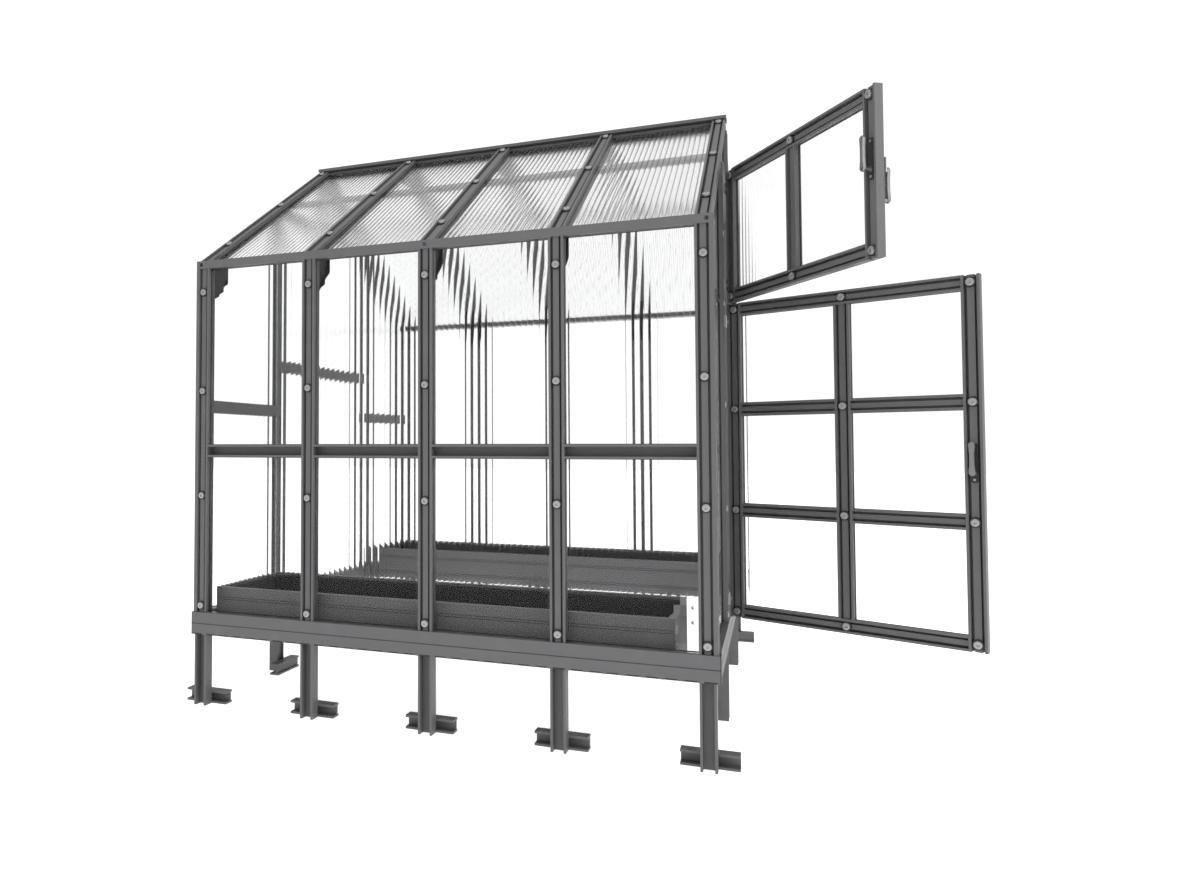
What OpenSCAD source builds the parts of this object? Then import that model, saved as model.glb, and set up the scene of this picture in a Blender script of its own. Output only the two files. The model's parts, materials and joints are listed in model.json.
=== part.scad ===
// Small apex greenhouse on ground feet, with a split door and two planting beds.
// X runs along the front wall, Y from the front wall to the rear wall, Z is up.
// The origin is the middle of the underside of the base, which is ground level once the
// legs below it are dug in.

/* [House] */
// Distance between the axes of two neighbouring wall posts
bay_pitch = 420; // [380:5:480]
// Number of bays along the front wall
bay_count = 4; // [3:1:6]
// Distance between the bolt planes of the front and rear walls
house_depth = 1814; // [1760:2:1980]
// Length of the ground legs below the base boards
leg_height = 243; // [150:1:300]
// Height of a base board and of a bed board
board_height = 77; // [70:1:90]
// Underside of the eave beams above the base
eave_height = 1280; // [1257:1:1317]
// Slope of the roof in degrees
roof_angle = 33.4; // [31:0.1:34]

/* [Profile] */
// Width of the aluminium profile across its face
profile_width = 46; // [44:1:50]
// Depth of the profile behind its bolt plane
profile_depth = 32; // [30:1:36]
// Height of a horizontal rail
rail_height = 43; // [38:1:46]
// Width of the two ribs along the edges of the profile
rib_width = 7; // [5:1:8]
// How far the ribs stand proud of the bolt plane
rib_proud = 6; // [3:0.5:7]
// Width of the two dark slots beside the centre band
slot_width = 7; // [5:0.5:8]
// Depth of those slots behind the bolt plane
slot_depth = 14; // [6:1:16]

/* [Glazing] */
// Thickness of the multiwall sheets
sheet_thick = 6; // [4:0.5:8]
// Depth of the sheets behind the bolt plane
sheet_inset = 10; // [9:0.5:12]
// How deep a sheet sits in the groove of a profile
groove_depth = 4; // [3:0.5:4]

/* [Doors] */
// Width of both doors
door_width = 736; // [700:2:736]
// Underside of the lower door above the base
lower_door_z = 88; // [83:1:97]
// Height of the lower door
lower_door_height = 1043; // [1000:1:1045]
// Height of the upper door
upper_door_height = 448; // [380:1:450]
// How far the lower door stands open, in degrees
lower_door_open = 114; // [0:1:160]
// How far the upper door stands open, in degrees
upper_door_open = 148; // [0:1:160]
// Length of a handle lever
lever_length = 95; // [70:1:120]

/* [Beds] */
// Length of a planting bed
bed_length = 1568; // [1200:2:1580]
// Width of a planting bed
bed_width = 406; // [300:2:420]
// Top of the beds above the base
bed_top = 157; // [150:1:177]

/* [Hidden] */
$fn = 48;

// Colours
frame_grey = [0.42, 0.42, 0.43];
slot_black = [0.10, 0.10, 0.10];
zinc = [0.76, 0.76, 0.77];
clear_sheet = [0.90, 0.93, 0.94, 0.45];
liner_black = [0.06, 0.06, 0.06];

// House
half_depth = house_depth / 2;
half_length = bay_pitch * bay_count / 2;
half_profile = profile_width / 2;
end_plane = half_length + half_profile;         // bolt plane of the end walls
board_proud = 10;                               // base board beyond the bolt plane
board_depth = board_proud + profile_depth;
post_x = [for (i = [0 : bay_count]) i * bay_pitch - half_length];
inner_post_x = [for (i = [1 : bay_count - 1]) post_x[i]];
bay_x = [for (i = [0 : bay_count - 1]) post_x[i] + half_profile];
bay_clear = bay_pitch - profile_width;
seat_gap = 0.2;                                 // air between sloping faces that meet
corner_depth = 48;                              // corner post behind the front bolt plane
channel_recess = 26;                            // web behind the lips of a leg or foot
channel_web = 6;
channel_lip = 7;
rail_web = 4;                                   // web at the back of a wall rail

// Posts and rails
mid_rail_z = 616;
post_bolt_z = [100.5, 482, 847.5, 1196];
side_rail_z = 773.5;
middle_rail_z = 957.5;

// Roof
roof_start_z = eave_height + 17.6;              // roof bolt plane above the front bolt plane
eave_beam_height = 27;
eave_lip = 6;
eave_notch = 12;
eave_floor = 3;                                 // beam below the lower edge of the sheets
ridge_half = 20;
ridge_beam_depth = 41;
ridge_beam_z = roof_z(ridge_half) - profile_depth / cos(roof_angle) - 3;
slope_length = half_depth / cos(roof_angle);
roof_bolt_along = [for (run = [152, 515, 862]) run / cos(roof_angle)];
purlin_shift = 45;                              // purlin axis above the middle bolts
purlin_along = roof_bolt_along[1] + purlin_shift;
cap_half = 32;
cap_wall = 6;
cap_overhang = 4;
cap_rise = 3;                                   // top of the cap above the bolt planes of the roof
cap_height = 12;

// End walls
stud_offset = 393;                              // stud and jamb axes from the middle
stud_inner = stud_offset - half_profile;
side_bay_inner = stud_offset + half_profile;
side_bay_outer = half_depth - corner_depth;
gable_rail_z = lower_door_z + lower_door_height + upper_door_height + 5;
joiner_height = 4;
jamb_bolt_z = [102, 447, 793, 1132, 1367];

// Bolts
bolt_head_r = 12.4;
bolt_head_h = 10;
bolt_socket_r = 4;

// Feet
foot_length = 161;
foot_height = 43;

// Hinges: the pin stands just outside the face, in the gap beside the jamb
hinge_out = 10;
door_gap = (2 * stud_inner - door_width) / 2;
hinge_along = stud_inner - door_gap / 2;
knuckle_r = 4;
pin_r = 2.2;
running_gap = 0.05;
knuckle_h = 12;
knuckle_space = 0.4;
leaf_thick = 3;
leaf_h = 3 * knuckle_h + 2 * knuckle_space;
jamb_leaf_w = 30;
door_leaf_w = rib_width;

// Doors
door_depth = 18;
door_left = -door_width / 2;
upper_door_z = lower_door_z + lower_door_height + 2;
lower_row_count = 3;
upper_row_count = 1;
bolt_edge = 21.5;                               // bolt rows from the ends of a door

// Handles
lower_spindle_z = lower_door_z + 491;
upper_spindle_z = upper_door_z + 231;
spindle_r = 4;
plate_w = 22;
plate_h = 110;
plate_thick = 3;
lever_w = 16;
lever_thick = 8;
lever_stand_off = 22;
cam_length = 40;
cam_width = 14;
cam_thick = 4;

// Beds
bed_board_thick = 20;
bed_left = -half_length + 20;
bed_outer = half_depth - 60;
bearer_height = 15;
bearer_width = 40;
bearer_x = [-600, 0, 600];
bed_joint = bed_top - board_height;
liner_wall = 2;
bracket_w = 36;
bracket_thick = 3;

// Height of the roof's bolt plane at a distance from the middle
function roof_z(from_middle) = roof_start_z + (half_depth - from_middle) * tan(roof_angle);

// Outline of the extruded profile: x across the face, y into the house, with a
// glazing groove on each side that has one.
function profile_outline(width, depth, left_groove, right_groove) =
    let (c = width / 2, b = c - rib_width, a = b - slot_width)
    concat(
        [[a, 0], [a, slot_depth], [b, slot_depth], [b, -rib_proud], [c, -rib_proud]],
        groove_notch(c, right_groove),
        [[c, depth], [-c, depth]],
        [for (i = [3 : -1 : 0]) mirrored(groove_notch(c, left_groove), i)],
        [[-c, -rib_proud], [-b, -rib_proud], [-b, slot_depth], [-a, slot_depth], [-a, 0]]
    );

// Four corners of a glazing groove in the edge at c, or two points where there is none
function groove_notch(c, groove) =
    let (near = sheet_inset, far = sheet_inset + sheet_thick, floor = c - (groove ? groove_depth : 0))
    groove ? [[c, near], [floor, near], [floor, far], [c, far]]
           : [[c, near - 2], [c, near], [c, far], [c, far + 2]];
function mirrored(points, i) = [-points[i][0], points[i][1]];

// Outline of the deep channel that legs and feet are cut from: two lips in front of a
// thin web, and two short lips behind it
function channel_outline(width, depth) =
    let (c = width / 2, b = c - channel_lip, web = channel_recess - rib_proud)
    [[-b, web], [b, web], [b, -rib_proud], [c, -rib_proud], [c, depth], [b, depth],
     [b, web + channel_web], [-b, web + channel_web], [-b, depth], [-c, depth],
     [-c, -rib_proud], [-b, -rib_proud]];

// Outline of a wall rail: two grooved flanges in front of a web at the very back
function rail_outline(width, depth) =
    let (c = width / 2, b = c - rib_width, web = depth - rail_web)
    concat(
        [[-b, web], [b, web], [b, -rib_proud], [c, -rib_proud]],
        groove_notch(c, true),
        [[c, depth], [-c, depth]],
        [for (i = [3 : -1 : 0]) mirrored(groove_notch(c, true), i)],
        [[-c, -rib_proud], [-b, -rib_proud]]
    );

// Upright bar from z = 0, its bolt plane at y = 0 and its face towards -y
module upright(length, width = profile_width, depth = profile_depth, left = true, right = true) {
    linear_extrude(length)
        polygon(profile_outline(width, depth, left, right));
}

// Lying bar from x = 0 along +x, centred on z = 0, its face towards -y
module lying(length, width = rail_height, depth = profile_depth, bottom = true, top = true) {
    rotate([90, 0, 90])
        linear_extrude(length)
            polygon([for (p = profile_outline(width, depth, bottom, top)) [p[1], p[0]]]);
}

// Wall rail from x = 0 along +x, centred on z = 0
module wall_rail(length) {
    rotate([90, 0, 90])
        linear_extrude(length)
            polygon([for (p = rail_outline(rail_height, profile_depth)) [p[1], p[0]]]);
}
module upright_channel(length, width) {
    linear_extrude(length)
        polygon(channel_outline(width, profile_depth));
}
module lying_channel(length, width) {
    rotate([90, 0, 90])
        linear_extrude(length)
            polygon([for (p = channel_outline(width, profile_depth)) [p[1], p[0]]]);
}

// Walls: each turns a wall drawn at the origin, face towards -y, to its own place
module on_front() {
    translate([0, -half_depth, 0]) children();
}
module on_rear() {
    rotate(180) on_front() children();
}
module on_right() {
    translate([end_plane, 0, 0]) rotate(90) children();
}
module on_left() {
    rotate(180) on_right() children();
}
module on_front_slope() {
    translate([0, -half_depth, roof_start_z])
        rotate([roof_angle - 90, 0, 0]) children();
}
module on_rear_slope() {
    rotate(180) on_front_slope() children();
}

// Everything below the undersides of the rafters
module under_roof() {
    drop = profile_depth / cos(roof_angle);
    wide = half_depth + 100;
    rotate([90, 0, 90])
        translate([0, 0, -end_plane - 50])
            linear_extrude(2 * end_plane + 100)
                polygon([[-wide, roof_z(wide) - drop], [0, roof_z(0) - drop],
                         [wide, roof_z(wide) - drop], [wide, 0], [-wide, 0]]);
}

// Where a rafter of the front slope may be: behind the eave lip, above the eave
// beam's sloping top and in front of the ridge beam
module rafter_zone() {
    lip_y = -half_depth - rib_proud + eave_lip;
    beam_y = -half_depth + profile_depth;
    floor_z = eave_height + eave_floor;
    far = 100;
    rotate([90, 0, 90])
        translate([0, 0, -end_plane - 50])
            linear_extrude(2 * end_plane + 100)
                polygon([[lip_y, floor_z], [-sheet_foot(), floor_z],
                         [beam_y, sheet_underside(-beam_y)], [beam_y, eave_height - far],
                         [-ridge_half, eave_height - far],
                         [-ridge_half, roof_z(0) + far], [lip_y, roof_z(0) + far]]);
}
function sheet_underside(from_middle) =
    roof_z(from_middle) - (sheet_inset + sheet_thick) / cos(roof_angle);
function sheet_topside(from_middle) = roof_z(from_middle) - sheet_inset / cos(roof_angle);
// Distance from the middle at which the sheets rest on the floor of the eave beam
function sheet_foot() =
    half_depth - (eave_height + eave_floor - sheet_underside(half_depth)) / tan(roof_angle);

// Round bolt head with a socket, seated on the bolt plane and facing -y
module bolt_head() {
    rotate([90, 0, 0])
        difference() {
            union() {
                cylinder(r = bolt_head_r, h = bolt_head_h - 1);
                translate([0, 0, bolt_head_h - 1])
                    cylinder(r1 = bolt_head_r, r2 = bolt_head_r - 1, h = 1);
            }
            translate([0, 0, bolt_head_h - 2.5])
                cylinder(r = bolt_socket_r, h = 3, $fn = 6);
        }
}

// Corner post: the wall profile, widened so that the end wall starts behind it
module corner_section() {
    c = half_profile;
    b = c - rib_width;
    a = b - slot_width;
    p = c + rib_proud;
    s = c - 5;
    near = c - sheet_inset;
    far = c - sheet_inset - sheet_thick;
    floor = corner_depth - groove_depth;
    side_slots = [14, corner_depth - 16];
    polygon([
        [-c, -rib_proud], [-b, -rib_proud], [-b, slot_depth], [-a, slot_depth], [-a, 0],
        [a, 0], [a, slot_depth], [b, slot_depth], [b, -rib_proud], [p, -rib_proud],
        [p, side_slots[0]], [s, side_slots[0]], [s, side_slots[0] + slot_width],
        [c, side_slots[0] + slot_width], [c, side_slots[1]], [s, side_slots[1]],
        [s, side_slots[1] + slot_width], [p, side_slots[1] + slot_width], [p, corner_depth],
        [near, corner_depth], [near, floor], [far, floor], [far, corner_depth],
        [c - profile_depth, corner_depth], [c - profile_depth, profile_depth],
        [-c, profile_depth], [-c, sheet_inset + sheet_thick],
        [groove_depth - c, sheet_inset + sheet_thick], [groove_depth - c, sheet_inset],
        [-c, sheet_inset]
    ]);
}

module wall_posts() {
    post_height = eave_height - board_height;
    for (x = inner_post_x)
        translate([x, 0, board_height]) upright(post_height);
    for (side = [0, 1])
        mirror([side, 0, 0])
            translate([half_length, 0, board_height])
                linear_extrude(post_height) corner_section();
}
module front_posts() {
    color(frame_grey) on_front() wall_posts();
}
module rear_posts() {
    color(frame_grey) on_rear() wall_posts();
}

// Two uprights of an end wall, cut to the slope of the roof
module end_uprights(inner_groove) {
    intersection() {
        for (side = [0, 1])
            mirror([side, 0, 0])
                translate([stud_offset, 0, board_height])
                    upright(roof_z(0) - board_height, left = inner_groove);
        translate([0, end_plane, 0]) rotate(-90) under_roof();
    }
}
module left_end_studs() {
    color(frame_grey) on_left() end_uprights(true);
}
module door_jambs() {
    color(frame_grey) on_right() end_uprights(false);
}

// Legs below the base boards
module wall_legs() {
    for (x = post_x)
        translate([x, 0, -leg_height]) upright_channel(leg_height, profile_width);
}
module front_legs() {
    color(frame_grey) on_front() wall_legs();
}
module rear_legs() {
    color(frame_grey) on_rear() wall_legs();
}
module end_legs() {
    for (side = [-1, 1])
        translate([side * stud_offset, 0, -leg_height])
            upright_channel(leg_height, profile_width);
}
module side_legs() {
    color(frame_grey) {
        on_left() end_legs();
        on_right() end_legs();
    }
}

// A short bar across the back of a leg, flush with its lower end
module foot(x) {
    translate([x - foot_length / 2, profile_depth + rib_proud, foot_height / 2 - leg_height])
        lying_channel(foot_length, foot_height);
}
module wall_feet() {
    for (x = post_x) foot(x);
}
module end_feet() {
    for (side = [-1, 1]) foot(side * stud_offset);
}
module ground_feet() {
    color(frame_grey) {
        on_front() wall_feet();
        on_rear() wall_feet();
        on_left() end_feet();
        on_right() end_feet();
    }
}

// Base board: centre groove in the face, slot in the top and a punched lower edge
module base_board(length) {
    groove = 3;
    half_height = board_height / 2;
    slot = [20, 28];
    punch_pitch = 53;
    punch_length = 36;
    punch_height = 5;
    punch_depth = 12;
    punch_count = floor((length - punch_length) / punch_pitch) + 1;
    punch_start = (length - (punch_count - 1) * punch_pitch - punch_length) / 2;
    difference() {
        rotate([90, 0, 90])
            linear_extrude(length)
                polygon([
                    [0, 0], [0, half_height - groove / 2], [groove, half_height - groove / 2],
                    [groove, half_height + groove / 2], [0, half_height + groove / 2],
                    [0, board_height], [slot[0], board_height], [slot[0], board_height - slot_depth],
                    [slot[1], board_height - slot_depth], [slot[1], board_height],
                    [board_depth, board_height], [board_depth, 0]
                ]);
        for (i = [0 : punch_count - 1])
            translate([punch_start + i * punch_pitch, -1, -1])
                cube([punch_length, punch_depth + 1, punch_height + 1]);
    }
}
module long_board() {
    length = 2 * (end_plane + board_proud);
    translate([-length / 2, -board_proud, 0]) base_board(length);
}
module short_board() {
    length = 2 * (half_depth - profile_depth);
    translate([-length / 2, -board_proud, 0]) base_board(length);
}
module front_base_board() {
    color(frame_grey) on_front() long_board();
}
module rear_base_board() {
    color(frame_grey) on_rear() long_board();
}
module end_base_boards() {
    color(frame_grey) {
        on_left() short_board();
        on_right() short_board();
    }
}
module base_corner_caps() {
    cap = 2;
    color(slot_black)
        for (turn = [0, 180], side = [0, 1])
            rotate(turn) mirror([side, 0, 0])
                translate([end_plane + board_proud, -half_depth - board_proud, 0])
                    cube([cap, board_depth, board_height]);
}

// Rails between the posts of the long walls
module mid_rails() {
    for (x = bay_x)
        translate([x, 0, mid_rail_z + rail_height / 2]) wall_rail(bay_clear);
}
module front_mid_rails() {
    color(frame_grey) on_front() mid_rails();
}
module rear_mid_rails() {
    color(frame_grey) on_rear() mid_rails();
}
module left_end_rails() {
    side_length = side_bay_outer - side_bay_inner;
    color(frame_grey) on_left() {
        translate([-side_bay_outer, 0, side_rail_z + rail_height / 2]) wall_rail(side_length);
        translate([side_bay_inner, 0, side_rail_z + rail_height / 2]) wall_rail(side_length);
        translate([-stud_inner, 0, middle_rail_z + rail_height / 2]) wall_rail(2 * stud_inner);
    }
}

// Rail across the top of the middle bay and the strut above it
module gable_frame(bottom_groove) {
    strut_z = gable_rail_z + rail_height + seat_gap;
    intersection() {
        translate([-stud_inner, 0, gable_rail_z + rail_height / 2])
            lying(2 * stud_inner, bottom = bottom_groove);
        translate([0, end_plane, 0]) rotate(-90) under_roof();
    }
    translate([0, 0, strut_z]) upright(ridge_beam_z - strut_z);
}
module gable_frames() {
    color(frame_grey) {
        on_left() gable_frame(true);
        on_right() gable_frame(false);
    }
}

// Eave beam with a lip in front of the roof sheets and square notches in its face
module eave_beam() {
    length = 2 * (end_plane + rib_proud);
    face = -half_depth - rib_proud;
    lip_y = face + eave_lip;
    back = -half_depth + profile_depth;
    floor_z = eave_height + eave_floor;
    notch_z = eave_height + (eave_beam_height - eave_notch) / 2;
    difference() {
        rotate([90, 0, 90])
            translate([0, 0, -length / 2])
                linear_extrude(length)
                    polygon([
                        [face, eave_height], [face, eave_height + eave_beam_height],
                        [lip_y, eave_height + eave_beam_height], [lip_y, floor_z],
                        [-sheet_foot(), floor_z], [back, sheet_underside(-back)],
                        [back, eave_height]
                    ]);
        for (x = [-half_length - 10, 0, half_length + 10])
            translate([x - eave_notch / 2, face - 1, notch_z])
                cube([eave_notch, eave_notch + 1, eave_notch]);
    }
}
module front_eave_beam() {
    color(frame_grey) eave_beam();
}
module rear_eave_beam() {
    color(frame_grey) rotate(180) eave_beam();
}

module ridge_beam() {
    color(frame_grey)
        translate([-end_plane, -ridge_half, ridge_beam_z])
            cube([2 * end_plane, 2 * ridge_half, ridge_beam_depth]);
}

// Flat cap with turned-down edges, held clear of the rafters by its stem
module ridge_cap() {
    length = 2 * (half_length + half_profile + cap_overhang);
    stem = 8;
    top = roof_z(0) + cap_rise;
    under = top - cap_wall;
    edge = top - cap_height;
    half = [[stem, ridge_beam_z + ridge_beam_depth], [stem, under], [cap_half - cap_wall, under],
            [cap_half - cap_wall, edge], [cap_half, edge], [cap_half, top]];
    color(frame_grey)
        rotate([90, 0, 90])
            translate([0, 0, -length / 2])
                linear_extrude(length)
                    polygon(concat(half, [for (i = [5 : -1 : 0]) [-half[i][0], half[i][1]]]));
}

module rafters() {
    intersection() {
        on_front_slope()
            for (x = post_x)
                translate([x, 0, -60]) upright(slope_length + 120);
        rafter_zone();
    }
}
module front_rafters() {
    color(frame_grey) rafters();
}
module rear_rafters() {
    color(frame_grey) rotate(180) rafters();
}

// Purlins lie under the sheets, just above the middle bolts
module purlins() {
    sheet_back = sheet_inset + sheet_thick;
    for (x = bay_x)
        translate([x, sheet_back, purlin_along - rail_height / 2])
            cube([bay_clear, profile_depth - sheet_back, rail_height]);
}
module front_purlins() {
    color(frame_grey) on_front_slope() purlins();
}
module rear_purlins() {
    color(frame_grey) on_rear_slope() purlins();
}

// Curved knee bracket between a post and its rafter
module knee_bracket() {
    drop = 108;
    reach = 100;
    thick = 8;
    back = -half_depth + profile_depth;
    rise = profile_depth / cos(roof_angle) + seat_gap;
    top_z = roof_z(-back) - rise;
    tip = [back + reach, roof_z(-back - reach) - rise];
    heel = [back, eave_height - drop];
    bend = [back + 22, eave_height - 14];
    curve = [for (i = [0 : 8]) let (t = i / 8)
        (1 - t) * (1 - t) * heel + 2 * t * (1 - t) * bend + t * t * tip];
    rotate([90, 0, 90])
        translate([0, 0, -thick / 2])
            linear_extrude(thick)
                polygon(concat([[back, top_z]], curve));
}
module knee_brackets() {
    color(slot_black)
        for (turn = [0, 180])
            rotate(turn)
                for (x = concat(inner_post_x, [14 - half_length, half_length - 14]))
                    translate([x, 0, 0]) knee_bracket();
}

// Triangular plates that tie each pair of rafters below the ridge beam
module ridge_gussets() {
    reach = 150;
    rise = profile_depth / cos(roof_angle) + seat_gap;
    shoulder = ridge_half + (roof_z(ridge_half) - rise - ridge_beam_z) / tan(roof_angle);
    color(frame_grey)
        for (x = inner_post_x)
            rotate([90, 0, 90])
                translate([0, 0, x - 3])
                    linear_extrude(6)
                        polygon([
                            [-reach, roof_z(reach) - rise], [-shoulder, ridge_beam_z],
                            [shoulder, ridge_beam_z], [reach, roof_z(reach) - rise]
                        ]);
}

// One upright sheet between two uprights, from one height to another
module sheet(x0, x1, z0, z1) {
    translate([x0 - groove_depth, sheet_inset, z0])
        cube([x1 - x0 + 2 * groove_depth, sheet_thick, z1 - z0]);
}
module wall_sheets() {
    for (x = bay_x) {
        sheet(x, x + bay_clear, board_height, mid_rail_z + groove_depth);
        sheet(x, x + bay_clear, mid_rail_z + rail_height - groove_depth, eave_height);
    }
}
module front_panes() {
    color(clear_sheet) on_front() wall_sheets();
}
module rear_panes() {
    color(clear_sheet) on_rear() wall_sheets();
}

// Sheets of an end wall, cut to the slope of the roof
module under_slope() {
    intersection() {
        children();
        translate([0, end_plane, 0]) rotate(-90) under_roof();
    }
}
module left_end_panes() {
    rail_top = rail_height - groove_depth;
    color(clear_sheet) on_left() under_slope() {
        for (side = [0, 1])
            mirror([side, 0, 0]) {
                sheet(side_bay_inner, side_bay_outer, board_height, side_rail_z + groove_depth);
                sheet(side_bay_inner, side_bay_outer, side_rail_z + rail_top, roof_z(0));
            }
        sheet(-stud_inner, stud_inner, board_height, middle_rail_z + groove_depth);
        sheet(-stud_inner, stud_inner, middle_rail_z + rail_top, gable_rail_z + groove_depth);
    }
}
module right_side_panes() {
    joint_z = upper_door_z - 1;
    color(clear_sheet) on_right() under_slope()
        for (side = [0, 1])
            mirror([side, 0, 0]) {
                sheet(side_bay_inner, side_bay_outer, board_height, joint_z);
                sheet(side_bay_inner, side_bay_outer, joint_z + joiner_height, roof_z(0));
            }
}
module pane_joiners() {
    joint_z = upper_door_z - 1;
    color(zinc) on_right()
        for (side = [0, 1])
            mirror([side, 0, 0])
                translate([side_bay_inner, sheet_inset - 2, joint_z])
                    cube([side_bay_outer - side_bay_inner, sheet_thick + 4, joiner_height]);
}
module gable_sheets() {
    z = gable_rail_z + rail_height - groove_depth;
    under_slope()
        for (side = [0, 1])
            mirror([side, 0, 0])
                sheet(half_profile, stud_inner, z, ridge_beam_z);
}
module gable_panes() {
    color(clear_sheet) {
        on_left() gable_sheets();
        on_right() gable_sheets();
    }
}

// Roof sheets run from behind the eave lip to the ridge beam
module roof_sheets() {
    low = sheet_foot();
    for (x = bay_x)
        rotate([90, 0, 90])
            translate([0, 0, x - groove_depth])
                linear_extrude(bay_clear + 2 * groove_depth)
                    polygon([
                        [-low, sheet_underside(low) + seat_gap],
                        [-ridge_half, sheet_underside(ridge_half) + seat_gap],
                        [-ridge_half, sheet_topside(ridge_half) - seat_gap],
                        [-low, sheet_topside(low) - seat_gap]
                    ]);
}
module front_roof_panes() {
    color(clear_sheet) roof_sheets();
}
module rear_roof_panes() {
    color(clear_sheet) rotate(180) roof_sheets();
}

module post_bolts() {
    for (x = post_x, z = post_bolt_z)
        translate([x, 0, z]) bolt_head();
}
module end_bolts() {
    for (side = [-1, 1], z = jamb_bolt_z)
        translate([side * stud_offset, 0, z]) bolt_head();
}
module wall_bolts() {
    color(zinc) {
        on_front() post_bolts();
        on_rear() post_bolts();
        on_left() end_bolts();
        on_right() end_bolts();
    }
}
module slope_bolts() {
    for (x = post_x, along = roof_bolt_along)
        translate([x, 0, along]) bolt_head();
}
module roof_bolts() {
    color(zinc) {
        on_front_slope() slope_bolts();
        on_rear_slope() slope_bolts();
    }
}

// Bearers carry both beds between the base boards
module bed_bearers() {
    length = 2 * (half_depth - profile_depth);
    color(frame_grey)
        for (x = bearer_x)
            translate([x - bearer_width / 2, -length / 2, 0])
                cube([bearer_width, length, bearer_height]);
}

// One bed board with two grooves along its middle, its face towards -y
module bed_board(length, height) {
    groove = 2.5;
    apart = 8;
    cut = [for (middle = [height / 2 - apart / 2, height / 2 + apart / 2])
        [[0, middle - groove / 2], [groove, middle - groove / 2],
         [groove, middle + groove / 2], [0, middle + groove / 2]]];
    rotate([90, 0, 90])
        linear_extrude(length)
            polygon(concat([[0, 0]], cut[0], cut[1],
                           [[0, height], [bed_board_thick, height], [bed_board_thick, 0]]));
}
// Four walls of the bed, two boards high; the corner nearest the origin is at x = y = 0
module bed_walls() {
    inner = bed_width - 2 * bed_board_thick;
    for (level = [[bearer_height, bed_joint - bearer_height], [bed_joint, board_height]])
        translate([0, 0, level[0]]) {
            bed_board(bed_length, level[1]);
            translate([bed_length, bed_width, 0]) rotate(180) bed_board(bed_length, level[1]);
            translate([bed_length, bed_board_thick, 0]) rotate(90) bed_board(inner, level[1]);
            translate([0, bed_board_thick + inner, 0]) rotate(-90) bed_board(inner, level[1]);
        }
}
// The front bed; the rear one is its mirror image
module bed_places(which) {
    for (side = which)
        mirror([0, side, 0])
            translate([bed_left, -bed_outer, 0]) children();
}
module front_bed_boards() {
    color(frame_grey) bed_places([0]) bed_walls();
}
module rear_bed_boards() {
    color(frame_grey) bed_places([1]) bed_walls();
}

// Angle plates on the outer corners of the beds, each with two bolt heads
module bed_bracket() {
    height = board_height + 20;
    reach = bracket_w + bracket_thick;
    z = bed_top - height - 8;
    translate([-bracket_thick, -bracket_thick, z])
        cube([reach, bracket_thick, height]);
    translate([-bracket_thick, 0, z])
        cube([bracket_thick, bracket_w, height]);
    for (level = [0.25, 0.75])
        translate([-bracket_thick, bracket_w / 2, z + height * level])
            rotate([0, -90, 0]) cylinder(r = 6, h = 4);
}
module bed_brackets() {
    color(zinc) bed_places([0, 1])
        for (sx = [0, 1], sy = [0, 1])
            translate([sx * bed_length, sy * bed_width, 0])
                mirror([sx, 0, 0]) mirror([0, sy, 0]) bed_bracket();
}
module bed_liners() {
    inner = [bed_length - 2 * bed_board_thick, bed_width - 2 * bed_board_thick];
    top = bed_top - 8;
    color(liner_black) bed_places([0, 1])
        translate([bed_board_thick, bed_board_thick, bearer_height])
            difference() {
                cube([inner[0], inner[1], top - bearer_height]);
                translate([liner_wall, liner_wall, liner_wall])
                    cube([inner[0] - 2 * liner_wall, inner[1] - 2 * liner_wall, top]);
            }
}

// Doors are drawn shut in the right-hand wall and turned about the hinge axis
module door_turned(angle) {
    axis = [end_plane + hinge_out, -hinge_along, 0];
    translate(axis) rotate(-angle) translate(-axis) on_right() children();
}
function spindle_along() = door_left + door_width - half_profile;

module door_stiles(z, height, spindle_z) {
    centre = door_left + half_profile;
    difference() {
        union() {
            translate([centre, 0, z]) upright(height, depth = door_depth, left = false);
            translate([-centre, 0, z]) upright(height, depth = door_depth, right = false);
            translate([0, 0, z + rail_height])
                upright(height - 2 * rail_height, depth = door_depth);
        }
        translate([spindle_along(), -20, spindle_z])
            rotate([-90, 0, 0]) cylinder(r = spindle_r + running_gap, h = 80);
    }
}
module door_rails(z, height, rows) {
    clear = door_width - 2 * profile_width;
    half_clear = (clear - profile_width) / 2;
    pitch = (height - rail_height) / rows;
    for (end = [0, 1])
        translate([-clear / 2, 0, z + rail_height / 2 + end * (height - rail_height)])
            lying(clear, depth = door_depth, bottom = end == 1, top = end == 0);
    if (rows > 1)
        for (row = [1 : rows - 1], side = [0, 1])
            mirror([side, 0, 0])
                translate([half_profile, 0, z + rail_height / 2 + row * pitch])
                    lying(half_clear, depth = door_depth);
}
module door_panes(z, height, rows) {
    pitch = (height - rail_height) / rows;
    for (row = [0 : rows - 1], side = [0, 1])
        mirror([side, 0, 0])
            sheet(half_profile, door_width / 2 - profile_width,
                  z + row * pitch + rail_height - groove_depth,
                  z + (row + 1) * pitch + groove_depth);
}
module door_bolts(z, height, rows) {
    pitch = (height - 2 * bolt_edge) / rows;
    for (along = [-1, 0, 1], row = [0 : rows])
        translate([along * (door_width / 2 - half_profile), 0, z + bolt_edge + row * pitch])
            bolt_head();
}

// Hinges: the jamb carries two knuckles and the pin, the door the one between them
function hinge_heights(z, height) = [z + 42, z + height - 42 - leaf_h];
all_hinge_z = concat(hinge_heights(lower_door_z, lower_door_height),
                     hinge_heights(upper_door_z, upper_door_height));
module knuckle(z, height) {
    translate([-hinge_along, -hinge_out, z])
        difference() {
            cylinder(r = knuckle_r, h = height);
            translate([0, 0, -1]) cylinder(r = pin_r + running_gap, h = height + 2);
        }
}
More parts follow.
